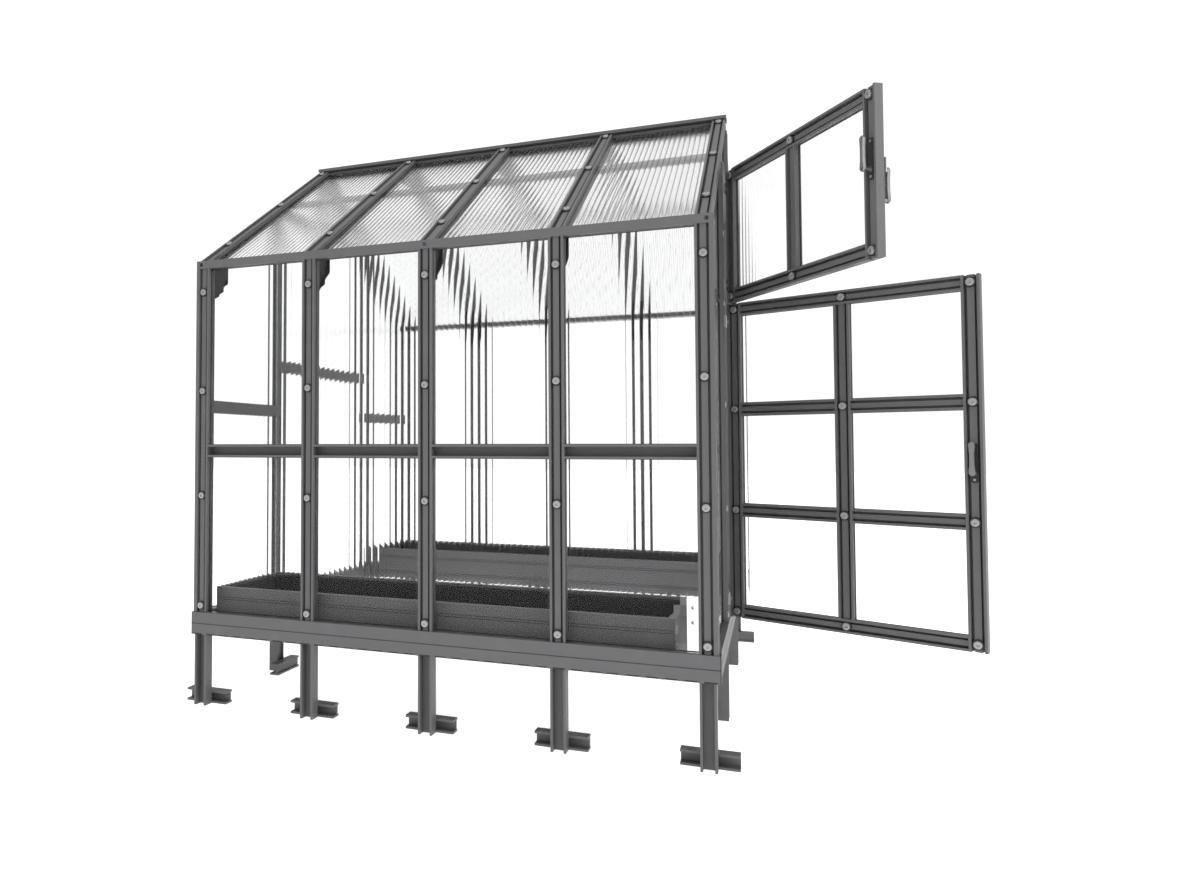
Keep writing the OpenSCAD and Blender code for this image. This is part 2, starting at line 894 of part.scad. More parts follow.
// Leaf plate from the face of the profile to the knuckle, with room for the pin
module leaf(from, to, z, height) {
    difference() {
        translate([from, -rib_proud - leaf_thick, z]) cube([to - from, leaf_thick, height]);
        translate([-hinge_along, -hinge_out, z - 1])
            cylinder(r = pin_r + running_gap, h = height + 2);
    }
}
module jamb_hinge_leaves() {
    color(zinc) on_right()
        for (z = all_hinge_z) {
            plate_edge = -hinge_along - knuckle_r - 1;
            leaf(-hinge_along - jamb_leaf_w, plate_edge, z, leaf_h);
            for (level = [0, 2]) {
                knuckle(z + level * (knuckle_h + knuckle_space), knuckle_h);
                leaf(plate_edge, -hinge_along,
                     z + level * (knuckle_h + knuckle_space), knuckle_h);
            }
        }
}
module hinge_pins() {
    color(zinc) on_right()
        for (z = all_hinge_z)
            translate([-hinge_along, -hinge_out, z - 1.5]) {
                cylinder(r = pin_r, h = leaf_h + 1.5);
                translate([0, 0, leaf_h + 1.5]) cylinder(r = pin_r + 1.5, h = 2);
            }
}
module door_hinge_leaves(z, height) {
    for (level = hinge_heights(z, height)) {
        mid = level + knuckle_h + knuckle_space;
        knuckle(mid, knuckle_h);
        leaf(-hinge_along, -hinge_along + door_leaf_w, mid, knuckle_h);
    }
}

// Handles: a plate on each face, and levers on a spindle that also turns the latch cam
module handle_plates(spindle_z) {
    centre = spindle_along();
    difference() {
        for (y = [-plate_thick, door_depth])
            translate([centre - plate_w / 2, y, spindle_z - plate_h / 4])
                cube([plate_w, plate_thick, plate_h]);
        translate([centre, -20, spindle_z])
            rotate([-90, 0, 0]) cylinder(r = spindle_r + running_gap, h = 80);
    }
}
// A lever with a round hub and a round tip, along +z, its back at y = 0
module lever() {
    rotate([90, 0, 0])
        difference() {
            union() {
                cylinder(r = lever_w / 2, h = lever_thick);
                translate([-lever_w / 2, 0, 0])
                    cube([lever_w, lever_length - lever_w, lever_thick]);
                translate([0, lever_length - lever_w, 0]) cylinder(r = lever_w / 2, h = lever_thick);
            }
            translate([0, 0, -1]) cylinder(r = spindle_r, h = lever_thick + 2);
        }
}
module levers(spindle_z) {
    translate([spindle_along(), -lever_stand_off, spindle_z]) lever();
    translate([spindle_along(), door_depth + lever_stand_off + lever_thick, spindle_z])
        rotate([0, 180, 0]) lever();
}
module latch_spindle(spindle_z) {
    start = -lever_stand_off - lever_thick;
    length = door_depth + 2 * (lever_stand_off + lever_thick);
    cam_y = profile_depth + plate_thick;
    translate([spindle_along(), 0, spindle_z]) {
        translate([0, start, 0]) rotate([-90, 0, 0]) cylinder(r = spindle_r, h = length);
        translate([-cam_width / 2, cam_y, -cam_width / 2])
            cube([cam_width, cam_thick, cam_length]);
    }
}

module lower_door_stiles() {
    color(frame_grey) door_turned(lower_door_open)
        door_stiles(lower_door_z, lower_door_height, lower_spindle_z);
}
module lower_door_rails() {
    color(frame_grey) door_turned(lower_door_open)
        door_rails(lower_door_z, lower_door_height, lower_row_count);
}
module lower_door_panes() {
    color(clear_sheet) door_turned(lower_door_open)
        door_panes(lower_door_z, lower_door_height, lower_row_count);
}
module lower_door_bolts() {
    color(zinc) door_turned(lower_door_open)
        door_bolts(lower_door_z, lower_door_height, lower_row_count);
}
module lower_hinge_leaves() {
    color(zinc) door_turned(lower_door_open)
        door_hinge_leaves(lower_door_z, lower_door_height);
}
module lower_handle_plates() {
    color(slot_black) door_turned(lower_door_open) handle_plates(lower_spindle_z);
}
module lower_levers() {
    color(zinc) door_turned(lower_door_open) levers(lower_spindle_z);
}
module lower_latch_spindle() {
    color(zinc) door_turned(lower_door_open) latch_spindle(lower_spindle_z);
}

module upper_door_stiles() {
    color(frame_grey) door_turned(upper_door_open)
        door_stiles(upper_door_z, upper_door_height, upper_spindle_z);
}
module upper_door_rails() {
    color(frame_grey) door_turned(upper_door_open)
        door_rails(upper_door_z, upper_door_height, upper_row_count);
}
module upper_door_panes() {
    color(clear_sheet) door_turned(upper_door_open)
        door_panes(upper_door_z, upper_door_height, upper_row_count);
}
module upper_door_bolts() {
    color(zinc) door_turned(upper_door_open)
        door_bolts(upper_door_z, upper_door_height, upper_row_count);
}
module upper_hinge_leaves() {
    color(zinc) door_turned(upper_door_open)
        door_hinge_leaves(upper_door_z, upper_door_height);
}
module upper_handle_plates() {
    color(slot_black) door_turned(upper_door_open) handle_plates(upper_spindle_z);
}
module upper_levers() {
    color(zinc) door_turned(upper_door_open) levers(upper_spindle_z);
}
module upper_latch_spindle() {
    color(zinc) door_turned(upper_door_open) latch_spindle(upper_spindle_z);
}

front_posts();
rear_posts();
left_end_studs();
door_jambs();
front_legs();
rear_legs();
side_legs();
ground_feet();
front_base_board();
rear_base_board();
end_base_boards();
base_corner_caps();
front_mid_rails();
rear_mid_rails();
left_end_rails();
gable_frames();
front_eave_beam();
rear_eave_beam();
ridge_beam();
ridge_cap();
front_rafters();
rear_rafters();
front_purlins();
rear_purlins();
knee_brackets();
ridge_gussets();
front_panes();
rear_panes();
left_end_panes();
right_side_panes();
gable_panes();
front_roof_panes();
rear_roof_panes();
pane_joiners();
wall_bolts();
roof_bolts();
bed_bearers();
front_bed_boards();
rear_bed_boards();
bed_brackets();
bed_liners();
jamb_hinge_leaves();
hinge_pins();
lower_door_stiles();
lower_door_rails();
lower_door_panes();
lower_door_bolts();
lower_hinge_leaves();
lower_handle_plates();
lower_levers();
lower_latch_spindle();
upper_door_stiles();
upper_door_rails();
upper_door_panes();
upper_door_bolts();
upper_hinge_leaves();
upper_handle_plates();
upper_levers();
upper_latch_spindle();
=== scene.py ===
"""Looks of a small apex greenhouse with a split door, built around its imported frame."""

import sys
import json
import logging
import math
from dataclasses import dataclass
from enum import Enum
from typing import Mapping, Sequence, Union

import bmesh
import bpy
from mathutils import Matrix, Vector, noise


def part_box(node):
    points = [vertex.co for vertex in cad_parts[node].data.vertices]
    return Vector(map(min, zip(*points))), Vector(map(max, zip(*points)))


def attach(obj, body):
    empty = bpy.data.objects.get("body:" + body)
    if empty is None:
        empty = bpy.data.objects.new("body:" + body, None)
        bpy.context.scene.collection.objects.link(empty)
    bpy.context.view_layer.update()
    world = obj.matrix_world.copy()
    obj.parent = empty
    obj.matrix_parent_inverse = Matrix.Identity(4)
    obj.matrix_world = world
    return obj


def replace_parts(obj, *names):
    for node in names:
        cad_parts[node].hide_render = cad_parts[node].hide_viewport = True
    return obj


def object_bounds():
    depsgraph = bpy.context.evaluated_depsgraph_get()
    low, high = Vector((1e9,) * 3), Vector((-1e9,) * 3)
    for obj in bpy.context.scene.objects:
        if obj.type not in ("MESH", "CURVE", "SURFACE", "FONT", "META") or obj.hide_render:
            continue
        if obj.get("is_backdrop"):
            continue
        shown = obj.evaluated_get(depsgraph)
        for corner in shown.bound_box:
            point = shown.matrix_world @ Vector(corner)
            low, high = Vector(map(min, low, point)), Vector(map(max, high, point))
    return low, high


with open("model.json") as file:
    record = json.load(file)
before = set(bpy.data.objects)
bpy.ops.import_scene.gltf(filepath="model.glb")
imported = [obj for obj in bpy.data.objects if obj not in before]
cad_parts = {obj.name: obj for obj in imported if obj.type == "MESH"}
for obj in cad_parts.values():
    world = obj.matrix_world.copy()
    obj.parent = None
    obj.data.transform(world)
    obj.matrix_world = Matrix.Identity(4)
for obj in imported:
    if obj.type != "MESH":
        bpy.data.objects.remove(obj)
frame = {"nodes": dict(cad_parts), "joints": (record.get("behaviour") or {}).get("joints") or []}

log = logging.getLogger("greenhouse")

MM = 0.001
WELD = 1e-6
Socket = bpy.types.NodeSocket
Colour = tuple[float, float, float]
Point = Sequence[float]


# ---------------------------------------------------------------- node trees


class Num:
    """A number carried by a socket; arithmetic on it adds Math nodes."""

    def __init__(self, book: "NodeBook", socket: Socket) -> None:
        """Wraps a socket.

        Args:
            book: the tree builder that owns the socket.
            socket: the output that carries the number.
        """
        self.book = book
        self.socket = socket

    def _math(self, operation: str, *others: "Operand") -> "Num":
        """Adds a Math node.

        Args:
            operation: the node's operation.
            others: its operands, in order.

        Returns:
            The node's result.
        """
        inputs = dict(enumerate(others))
        return Num(self.book, self.book.add("ShaderNodeMath", {"operation": operation}, inputs).outputs[0])

    def __add__(self, other: "Operand") -> "Num":
        """self + other."""
        return self._math("ADD", self, other)

    def __radd__(self, other: "Operand") -> "Num":
        """other + self."""
        return self._math("ADD", other, self)

    def __sub__(self, other: "Operand") -> "Num":
        """self - other."""
        return self._math("SUBTRACT", self, other)

    def __rsub__(self, other: "Operand") -> "Num":
        """other - self."""
        return self._math("SUBTRACT", other, self)

    def __mul__(self, other: "Operand") -> "Num":
        """self * other."""
        return self._math("MULTIPLY", self, other)

    def __rmul__(self, other: "Operand") -> "Num":
        """other * self."""
        return self._math("MULTIPLY", other, self)

    def fract(self) -> "Num":
        """The part after the decimal point."""
        return self._math("FRACT", self)

    def step(self, low: float, high: float) -> "Num":
        """A smooth rise from 0 at low to 1 at high.

        Args:
            low: value where the rise starts.
            high: value where it ends.

        Returns:
            The risen value.
        """
        node = self.book.add(
            "ShaderNodeMapRange",
            {"interpolation_type": "SMOOTHSTEP"},
            {"Value": self, "From Min": low, "From Max": high},
        )
        return Num(self.book, node.outputs[0])


Operand = Union[Num, Socket, float]
Tone = Union[Colour, Socket]


class NodeBook:
    """Adds nodes to one tree."""

    def __init__(self, tree: bpy.types.NodeTree) -> None:
        """Starts on a tree."""
        self.tree = tree

    def add(
        self,
        kind: str,
        settings: Mapping[str, object] | None = None,
        inputs: Mapping[int | str, object] | None = None,
    ) -> bpy.types.Node:
        """Adds one node.

        Args:
            kind: the node's type.
            settings: properties set before anything else.
            inputs: values or links by socket index, identifier or name.

        Returns:
            The new node.
        """
        node = self.tree.nodes.new(kind)
        for name, value in (settings or {}).items():
            setattr(node, name, value)
        for key, value in (inputs or {}).items():
            socket = node.inputs[key] if isinstance(key, int) else self.find(node.inputs, key)
            if isinstance(value, Num):
                value = value.socket
            if isinstance(value, Socket):
                self.tree.links.new(value, socket)
            else:
                socket.default_value = value
        return node

    def num(self, kind: str, settings: Mapping[str, object], inputs: Mapping, output: str) -> Num:
        """Adds a node and returns one of its outputs as a number.

        Args:
            kind: the node's type.
            settings: properties set first.
            inputs: values or links.
            output: name of the output.

        Returns:
            The output as a number.
        """
        return Num(self, self.find(self.add(kind, settings, inputs).outputs, output))

    @staticmethod
    def find(sockets: bpy.types.NodeInputs, key: str) -> Socket:
        """The enabled socket with that identifier or name."""
        for socket in sockets:
            if socket.enabled and key in (socket.identifier, socket.name):
                return socket
        raise KeyError(f"no socket {key} among {[s.name for s in sockets]}")


# ---------------------------------------------------------------- finishes


class Pattern(NodeBook):
    """The material of one finish while it is built."""

    def __init__(self, name: str) -> None:
        """Makes an empty material.

        Args:
            name: the material's name.
        """
        self.material = bpy.data.materials.new(name)
        self.material.use_nodes = True
        super().__init__(self.material.node_tree)
        self.tree.nodes.clear()
        self.place = self.add("ShaderNodeTexCoord").outputs["Object"]

    def noise(self, scale: float, detail: float = 2, stretch: Colour = (1, 1, 1)) -> Num:
        """Noise over the object.

        Args:
            scale: cells in a metre.
            detail: octaves.
            stretch: factors on the three axes.

        Returns:
            The noise from 0 to 1.
        """
        place = self.add("ShaderNodeMapping", None, {"Vector": self.place, "Scale": stretch}).outputs[0]
        inputs = {"Vector": place, "Scale": scale, "Detail": detail}
        return self.num("ShaderNodeTexNoise", {}, inputs, "Fac")

    def tint(self, factor: Num, low: Tone, high: Tone) -> Socket:
        """A colour between two.

        Args:
            factor: 0 for low, 1 for high.
            low: first colour, or a socket that gives it.
            high: second colour, or its socket.

        Returns:
            The mixed colour.
        """
        first, second = (tone if isinstance(tone, Socket) else (*tone, 1) for tone in (low, high))
        inputs = {"Factor_Float": factor, "A_Color": first, "B_Color": second}
        node = self.add("ShaderNodeMix", {"data_type": "RGBA"}, inputs)
        return self.find(node.outputs, "Result_Color")

    def bump(self, height: Num, distance: float, strength: float = 1) -> Socket:
        """A bumped normal.

        Args:
            height: relief from 0 to 1.
            distance: depth in metres.
            strength: share of it that shows.

        Returns:
            The normal.
        """
        inputs = {"Height": height, "Distance": distance, "Strength": strength}
        return self.add("ShaderNodeBump", None, inputs).outputs[0]

    def close(self, **inputs: object) -> bpy.types.Material:
        """Ends the tree in a Principled shader.

        Args:
            inputs: its sockets, with _ for each space.

        Returns:
            The finished material.
        """
        named = {key.replace("_", " "): value for key, value in inputs.items()}
        shader = self.add("ShaderNodeBsdfPrincipled", None, named)
        self.add("ShaderNodeOutputMaterial", None, {"Surface": shader.outputs[0]})
        return self.material


def shade(colour: Colour, factor: float) -> Colour:
    """A colour made lighter or darker.

    Args:
        colour: the colour.
        factor: what to multiply it by.

    Returns:
        The new colour.
    """
    return tuple(min(1.0, c * factor) for c in colour)


@dataclass(frozen=True)
class PowderCoat:
    """Satin powder coat over extruded aluminium."""

    name: str
    tone: Colour
    roughness: float = 0.45
    drift: float = 0.07
    peel: float = 0.00015
    drift_cells: float = 2.4
    peel_cells: float = 420
    bloom_cells: float = 14
    bloom_share: float = 0.05
    bloom_band: tuple[float, float] = (0.5, 0.8)
    dust: Colour = (0.42, 0.42, 0.41)
    gloss_drift: float = 0.1
    gloss_dust: float = 0.08
    relief: float = 0.5
    sheen: float = 0.35

    def make(self) -> bpy.types.Material:
        """The material: slow tone drift, orange peel and a faint dust bloom."""
        pattern = Pattern(self.name)
        slow = pattern.noise(self.drift_cells, 3)
        grain = pattern.noise(self.peel_cells, 2)
        bloom = pattern.noise(self.bloom_cells, 4).step(*self.bloom_band)
        tone = pattern.tint(slow, shade(self.tone, 1 - self.drift), shade(self.tone, 1 + self.drift))
        return pattern.close(
            Base_Color=pattern.tint(bloom * self.bloom_share, tone, self.dust),
            Roughness=self.roughness + self.gloss_drift * (slow - 0.5) + self.gloss_dust * bloom,
            Normal=pattern.bump(grain, self.peel, self.relief),
            Specular_IOR_Level=self.sheen,
        )


@dataclass(frozen=True)
class Zinc:
    """Bright zinc plate with a fine spangle."""

    name: str
    tone: Colour
    roughness: float = 0.36
    spangle: float = 260
    smear_cells: float = 90
    contrast: tuple[float, float] = (0.88, 1.1)
    shares: tuple[float, float] = (0.6, 0.4)
    gloss: tuple[float, float] = (0.12, 0.1)
    depth: float = 0.0001
    relief: float = 0.3
    metallic: float = 0.85

    def make(self) -> bpy.types.Material:
        """The material: small crystals that differ a little in tone and gloss."""
        pattern = Pattern(self.name)
        cells = pattern.add(
            "ShaderNodeTexVoronoi", {"feature": "F1"}, {"Vector": pattern.place, "Scale": self.spangle}
        )
        cell = pattern.num("ShaderNodeSeparateColor", {}, {"Color": cells.outputs["Color"]}, "Red")
        smear = pattern.noise(self.smear_cells, 3)
        low, high = (shade(self.tone, factor) for factor in self.contrast)
        return pattern.close(
            Base_Color=pattern.tint(self.shares[0] * cell + self.shares[1] * smear, low, high),
            Metallic=self.metallic,
            Roughness=self.roughness + self.gloss[0] * (cell - 0.5) + self.gloss[1] * (smear - 0.5),
            Normal=pattern.bump(smear, self.depth, self.relief),
        )


@dataclass(frozen=True)
class Moulding:
    """Black moulded plastic or film."""

    name: str
    tone: Colour
    grain: float = 900
    depth: float = 0.0001
    creases: float = 0
    crease_cells: float = 7
    contrast: tuple[float, float] = (0.75, 1.35)
    roughness: float = 0.55
    gloss: tuple[float, float] = (0.15, 0.1)
    relief: float = 0.6

    def make(self) -> bpy.types.Material:
        """The material: fine spark texture, and soft creases on a film."""
        pattern = Pattern(self.name)
        fine = pattern.noise(self.grain, 1)
        slow = pattern.noise(self.crease_cells, 3)
        low, high = (shade(self.tone, factor) for factor in self.contrast)
        height = fine * self.depth + slow * self.creases
        return pattern.close(
            Base_Color=pattern.tint(slow, low, high),
            Roughness=self.roughness + self.gloss[0] * (fine - 0.5) + self.gloss[1] * (slow - 0.5),
            Normal=pattern.bump(height, 1.0, self.relief),
        )


@dataclass(frozen=True)
class ClearSheet:
    """Clear fluted plastic sheet, darker and duller in the valleys between flutes; the darker valley tone is
    painted shade for the dark members and shade seen through the flutes.
    """

    name: str
    tone: Colour
    valley: Colour
    roughness: float = 0.03
    haze: float = 0.05
    mirror: float = 0.25
    valley_band: tuple[float, float] = (0.62, 0.98)
    cloud_cells: float = 3
    cloud_shade: float = 0.985
    cloud_gloss: float = 0.02
    index: float = 1.5

    def make(self) -> bpy.types.Material:
        """The material; the flute attribute is 0 on a crest and 1 in a valley."""
        pattern = Pattern(self.name)
        flute = pattern.num("ShaderNodeAttribute", {"attribute_name": "flute"}, {}, "Fac")
        line = flute.step(*self.valley_band)
        cloud = pattern.noise(self.cloud_cells, 3)
        tone = pattern.tint(cloud, shade(self.tone, self.cloud_shade), self.tone)
        # Darker base colour in the valleys: painted shade along the real flute lines.
        return pattern.close(
            Base_Color=pattern.tint(line, tone, self.valley),
            Roughness=self.roughness + self.haze * line + self.cloud_gloss * (cloud - 0.5),
            Transmission_Weight=1.0,
            Specular_Tint=(self.mirror, self.mirror, self.mirror, 1),
            IOR=self.index,
        )


class Finish(Enum):
    """Every finish on the greenhouse, by the slot of the record that it fills."""

    FRAME = PowderCoat("frame_profile", (0.118, 0.118, 0.122), peel=0.00008)
    BASE = PowderCoat("base_board", (0.118, 0.118, 0.122), roughness=0.5, peel=0.00005)
    BED = PowderCoat("bed_board", (0.118, 0.118, 0.122), roughness=0.5, peel=0.00005)
    BLACK = Moulding("black_fittings", (0.012, 0.012, 0.012))
    LINER = Moulding("bed_liner", (0.010, 0.010, 0.010), grain=300, depth=0.00005, creases=0.004)
    BOLT = Zinc("bolt_zinc", (0.38, 0.38, 0.38), roughness=0.5)
    HARDWARE = Zinc("hardware_zinc", (0.40, 0.40, 0.40), roughness=0.5)
    HANDLE = Zinc("handle_metal", (0.24, 0.24, 0.24), roughness=0.5, spangle=420)
    JOINER = Zinc("joiner_strip", (0.80, 0.80, 0.80), roughness=0.3)
    WALL = ClearSheet("wall_sheet", (0.995, 0.998, 0.998), (0.95, 0.955, 0.955), mirror=0.15)
    # The roof's dark valley tone is painted shade: stripes for the members and shade seen through the roof.
    ROOF = ClearSheet(
        "roof_sheet", (0.97, 0.973, 0.973), (0.25, 0.255, 0.255), roughness=0.07, haze=0.15, mirror=0.3
    )

    @property
    def slot(self) -> str:
        """Name of the record's slot."""
        return self.value.name

    @property
    def material(self) -> bpy.types.Material:
        """The material, made once."""
        return bpy.data.materials.get(f"{self.slot}_finish") or self._make()

    def _make(self) -> bpy.types.Material:
        """Makes and names the material."""
        material = self.value.make()
        material.name = f"{self.slot}_finish"
        return material


# ---------------------------------------------------------------- places


@dataclass(frozen=True)
class Place:
    """A wall, slope or door: x runs along it, -y is outwards, z is up it."""

    name: str
    body: str
    matrix: Matrix

    def local(self, points: Sequence[Vector]) -> list[Vector]:
        """Points in this place's own coordinates."""
        back = self.matrix.inverted()
        return [back @ p for p in points]


class Places:
    """All walls, slopes and doors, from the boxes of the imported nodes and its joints."""

    rib_proud = 6 * MM
    fit = 0.8 * MM
    roof_angle = math.radians(33.4)
    roof_above_eave = 17.6 * MM

    def __init__(self) -> None:
        """Works the matrices out."""
        front_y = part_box("front_posts")[0].y + self.rib_proud
        right_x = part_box("door_jambs")[1].x - self.rib_proud
        start_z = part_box("front_eave_beam")[0].z + self.roof_above_eave
        turn = Matrix.Rotation(math.pi, 4, "Z")
        front = Matrix.Translation((0, front_y, 0))
        right = Matrix.Translation((right_x, 0, 0)) @ Matrix.Rotation(math.pi / 2, 4, "Z")
        slope = Matrix.Translation((0, front_y, start_z)) @ Matrix.Rotation(
            self.roof_angle - math.pi / 2, 4, "X"
        )
        self.front = Place("front", "house", front)
        self.rear = Place("rear", "house", turn @ front)
        self.right = Place("right", "house", right)
        self.left = Place("left", "house", turn @ right)
        self.front_slope = Place("front_slope", "house", slope)
        self.rear_slope = Place("rear_slope", "house", turn @ slope)
        self.lower_door = self._door("lower_door", right)
        self.upper_door = self._door("upper_door", right)
        self.walls = (self.front, self.rear, self.right, self.left)
        self.slopes = (self.front_slope, self.rear_slope)

    @staticmethod
    def _door(name: str, wall: Matrix) -> Place:
        """A door at rest, which is open by its hinge's upper limit.

        Args:
            name: the door's body.
            wall: matrix of the wall that it shuts into.

        Returns:
            The door's place.
        """
        joint = next(j for j in frame["joints"] if j["child"] == name)
        axis = Vector((*joint["pos_m"][:2], 0))
        swing = Matrix.Rotation(-math.radians(joint["range_deg"][1]), 4, "Z")
        matrix = Matrix.Translation(axis) @ swing @ Matrix.Translation(-axis) @ wall
        return Place(name, name, matrix)

    def among(self, points: Sequence[Vector], choices: Sequence[Place], near: float, far: float) -> Place:
        """The place on which a lump sits at a given depth.

        Args:
            points: corners of the lump.
            choices: places to try.
            near: its nearest depth, in metres along y.
            far: its farthest depth.

        Returns:
            The first place that fits.
        """
        for place in choices:
            depth = [p.y for p in place.local(points)]
            if abs(min(depth) - near) < self.fit and abs(max(depth) - far) < self.fit:
                return place
        raise ValueError("a lump sits on no wall")


def lumps(node: str) -> list[list[Vector]]:
    """Corners of each separate solid in a CAD node.

    Args:
        node: name of the node.

    Returns:
        One list of corners for each solid, in order of place.
    """
    mesh = bmesh.new()
    mesh.from_mesh(frame["nodes"][node].data)
    bmesh.ops.remove_doubles(mesh, verts=mesh.verts, dist=WELD)
    left = set(mesh.verts)
    found = []
    while left:
        stack = [left.pop()]
        lump = []
        while stack:
            vert = stack.pop()
            lump.append(vert.co.copy())
            for edge in vert.link_edges:
                other = edge.other_vert(vert)
                if other in left:
                    left.remove(other)
                    stack.append(other)
        found.append(lump)
    mesh.free()
    return sorted(found, key=lambda lump: tuple(round(c, 4) for c in sum(lump, Vector()) / len(lump)))


# ---------------------------------------------------------------- meshes


class Shape:
    """Closed solids gathered into one mesh."""

    def __init__(self) -> None:
        """Starts empty."""
        self.mesh = bmesh.new()

    def solid(self, rings: Sequence[Sequence[Point]], matrix: Matrix = Matrix()) -> "Shape":
        """A solid skinned over rings that have the same number of points.

        Args:
            rings: rings from one end to the other, anticlockwise seen from the far end.
            matrix: where the solid goes.

        Returns:
            This shape.
        """
        rows = [[self.mesh.verts.new(matrix @ Vector(p)) for p in ring] for ring in rings]
        count = len(rows[0])
        for low, high in zip(rows, rows[1:]):
            for i in range(count):
                k = (i + 1) % count
                self.mesh.faces.new((low[i], low[k], high[k], high[i]))
        self.mesh.faces.new(rows[0][::-1])
        self.mesh.faces.new(rows[-1])
        return self

    def lathe(self, profile: Sequence[tuple], matrix: Matrix = Matrix(), count: int = 24) -> "Shape":
        """A turned solid along +z.

        Args:
            profile: (radius, height) pairs; a third entry "hex" makes that ring six-sided.
            matrix: where the solid goes.
            count: points in a ring, a multiple of six.

        Returns:
            This shape.
        """
        rings = []
        for radius, height, *kind in profile:
            ring = []
            for i in range(count):
                turn = 2 * math.pi * i / count
                reach = radius
                if kind:
                    reach *= math.cos(math.pi / 6) / math.cos((turn % (math.pi / 3)) - math.pi / 6)
                ring.append((reach * math.cos(turn), reach * math.sin(turn), height))
            rings.append(ring)
        return self.solid(rings, matrix)

    def prism(
        self, outline: Sequence[tuple[float, float]], low: float, high: float,
        matrix: Matrix = Matrix(), edge: float = 0,
    ) -> "Shape":
        """An outline in x and z, run along y, with its ends eased.

        Args:
            outline: corners, anticlockwise seen from -y.
            low: where it starts on y.
            high: where it ends.
            matrix: where the solid goes.
            edge: how much the ends are eased.

        Returns:
            This shape.
        """
        middle = [sum(c) / len(outline) for c in zip(*outline)]
        reach = max(math.dist(middle, p) for p in outline)
        share = 1 - edge / reach if edge else 1
        inner = [tuple(m + share * (c - m) for c, m in zip(p, middle)) for p in outline]
        steps = [(high, inner), (high - edge, outline), (low + edge, outline), (low, inner)]
        if not edge:
            steps = [(high, outline), (low, outline)]
        return self.solid([[(x, y, z) for x, z in ring] for y, ring in steps], matrix)

    def seed_object(self, name: str) -> bpy.types.Object:
        """Ends the shape as an unlinked object that a node tree sets on points.

        Args:
            name: the object's name.

        Returns:
            The object.
        """
        bmesh.ops.recalc_face_normals(self.mesh, faces=self.mesh.faces)
        data = bpy.data.meshes.new(name)
        self.mesh.to_mesh(data)
        self.mesh.free()
        return bpy.data.objects.new(name, data)

    def piece(self, name: str, body: str, finish: Finish, smooth: float = 30) -> bpy.types.Object:
        """Ends the shape as an object that rides on a body.

        Args:
            name: the object's name.
            body: the CAD body.
            finish: its finish.
            smooth: edges sharper than this many degrees stay sharp.

        Returns:
            The object.
        """
        bmesh.ops.recalc_face_normals(self.mesh, faces=self.mesh.faces)
        data = bpy.data.meshes.new(name)
        self.mesh.to_mesh(data)
        self.mesh.free()
        data.materials.append(finish.material)
        return place_mesh(data, name, body, smooth)


def place_mesh(
    data: bpy.types.Mesh, name: str, body: str, smooth: float = 30
) -> bpy.types.Object:
    """Links a finished mesh and lets it ride on a body.

    Args:
        data: the mesh, in the shared frame.
        name: the object's name.
        body: the CAD body.
        smooth: edges sharper than this many degrees stay sharp.

    Returns:
        The object.
    """
    data.shade_smooth()
    data.set_sharp_from_angle(angle=math.radians(smooth))
    piece = bpy.data.objects.new(name, data)
    bpy.context.scene.collection.objects.link(piece)
    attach(piece, body)
    log.info("%s: %d faces on %s", name, len(data.polygons), body)
    return piece


def rounded(width: float, height: float, radius: float, steps: int = 5) -> list[tuple[float, float]]:
    """Outline of a rounded rectangle about the origin.

    Args:
        width: its width.
        height: its height.
        radius: radius of its corners.
        steps: points in a corner.

    Returns:
        Its corners, anticlockwise.
    """
    points = []
    for turn, (sx, sz) in enumerate([(1, 1), (-1, 1), (-1, -1), (1, -1)]):
        for i in range(steps):
            angle = math.pi / 2 * (turn + i / (steps - 1))
            points.append(
                (sx * (width / 2 - radius) + radius * math.cos(angle),
                 sz * (height / 2 - radius) + radius * math.sin(angle))
            )
    return points


# ---------------------------------------------------------------- geometry nodes


class Grower:
    """A geometry node tree with named inputs, and how to turn it into a mesh."""

    def __init__(self, name: str, inputs: Mapping[str, str]) -> None:
        """Starts the tree.

        Args:
            name: the tree's name.
            inputs: name and socket type of each input.
        """
        tree = bpy.data.node_groups.new(name, "GeometryNodeTree")
        self.book = NodeBook(tree)
        tree.interface.new_socket("Geometry", in_out="OUTPUT", socket_type="NodeSocketGeometry")
        named = {"Geometry": "NodeSocketGeometry", **inputs, "Finish": "NodeSocketMaterial"}
        self.keys = {
            key: tree.interface.new_socket(key, in_out="INPUT", socket_type=kind).identifier
            for key, kind in named.items()
        }
        self.given = self.book.add("NodeGroupInput").outputs
        self.tree = tree

    def value(self, name: str) -> Num:
        """An input of the tree as a number."""
        return Num(self.book, self.given[name])

    def close(self, geometry: Socket) -> None:
        """Ends the tree in real geometry that carries its material.

        Args:
            geometry: what the tree has made.
        """
        real = self.book.add("GeometryNodeRealizeInstances", None, {"Geometry": geometry}).outputs[0]
        dressed = self.book.add(
            "GeometryNodeSetMaterial", None, {"Geometry": real, "Material": self.given["Finish"]}
        ).outputs[0]
        self.book.add("NodeGroupOutput", None, {"Geometry": dressed})

    def grow(self, finish: Finish, seed: bpy.types.Mesh | None = None, **values: object) -> bpy.types.Mesh:
        """Runs the tree once.

        Args:
            finish: the finish it sets.
            seed: the mesh it starts from, if any.
            values: its other inputs, with _ for each space.

        Returns:
            A plain mesh.
        """
        host = bpy.data.objects.new("host", seed or bpy.data.meshes.new("host"))
        bpy.context.scene.collection.objects.link(host)
        modifier = host.modifiers.new("grow", "NODES")
        modifier.node_group = self.tree
        for key, value in values.items():
            modifier[self.keys[key.replace("_", " ")]] = value
        modifier[self.keys["Finish"]] = finish.material
        graph = bpy.context.evaluated_depsgraph_get()
        mesh = bpy.data.meshes.new_from_object(host.evaluated_get(graph))
        bpy.data.objects.remove(host)
        return mesh


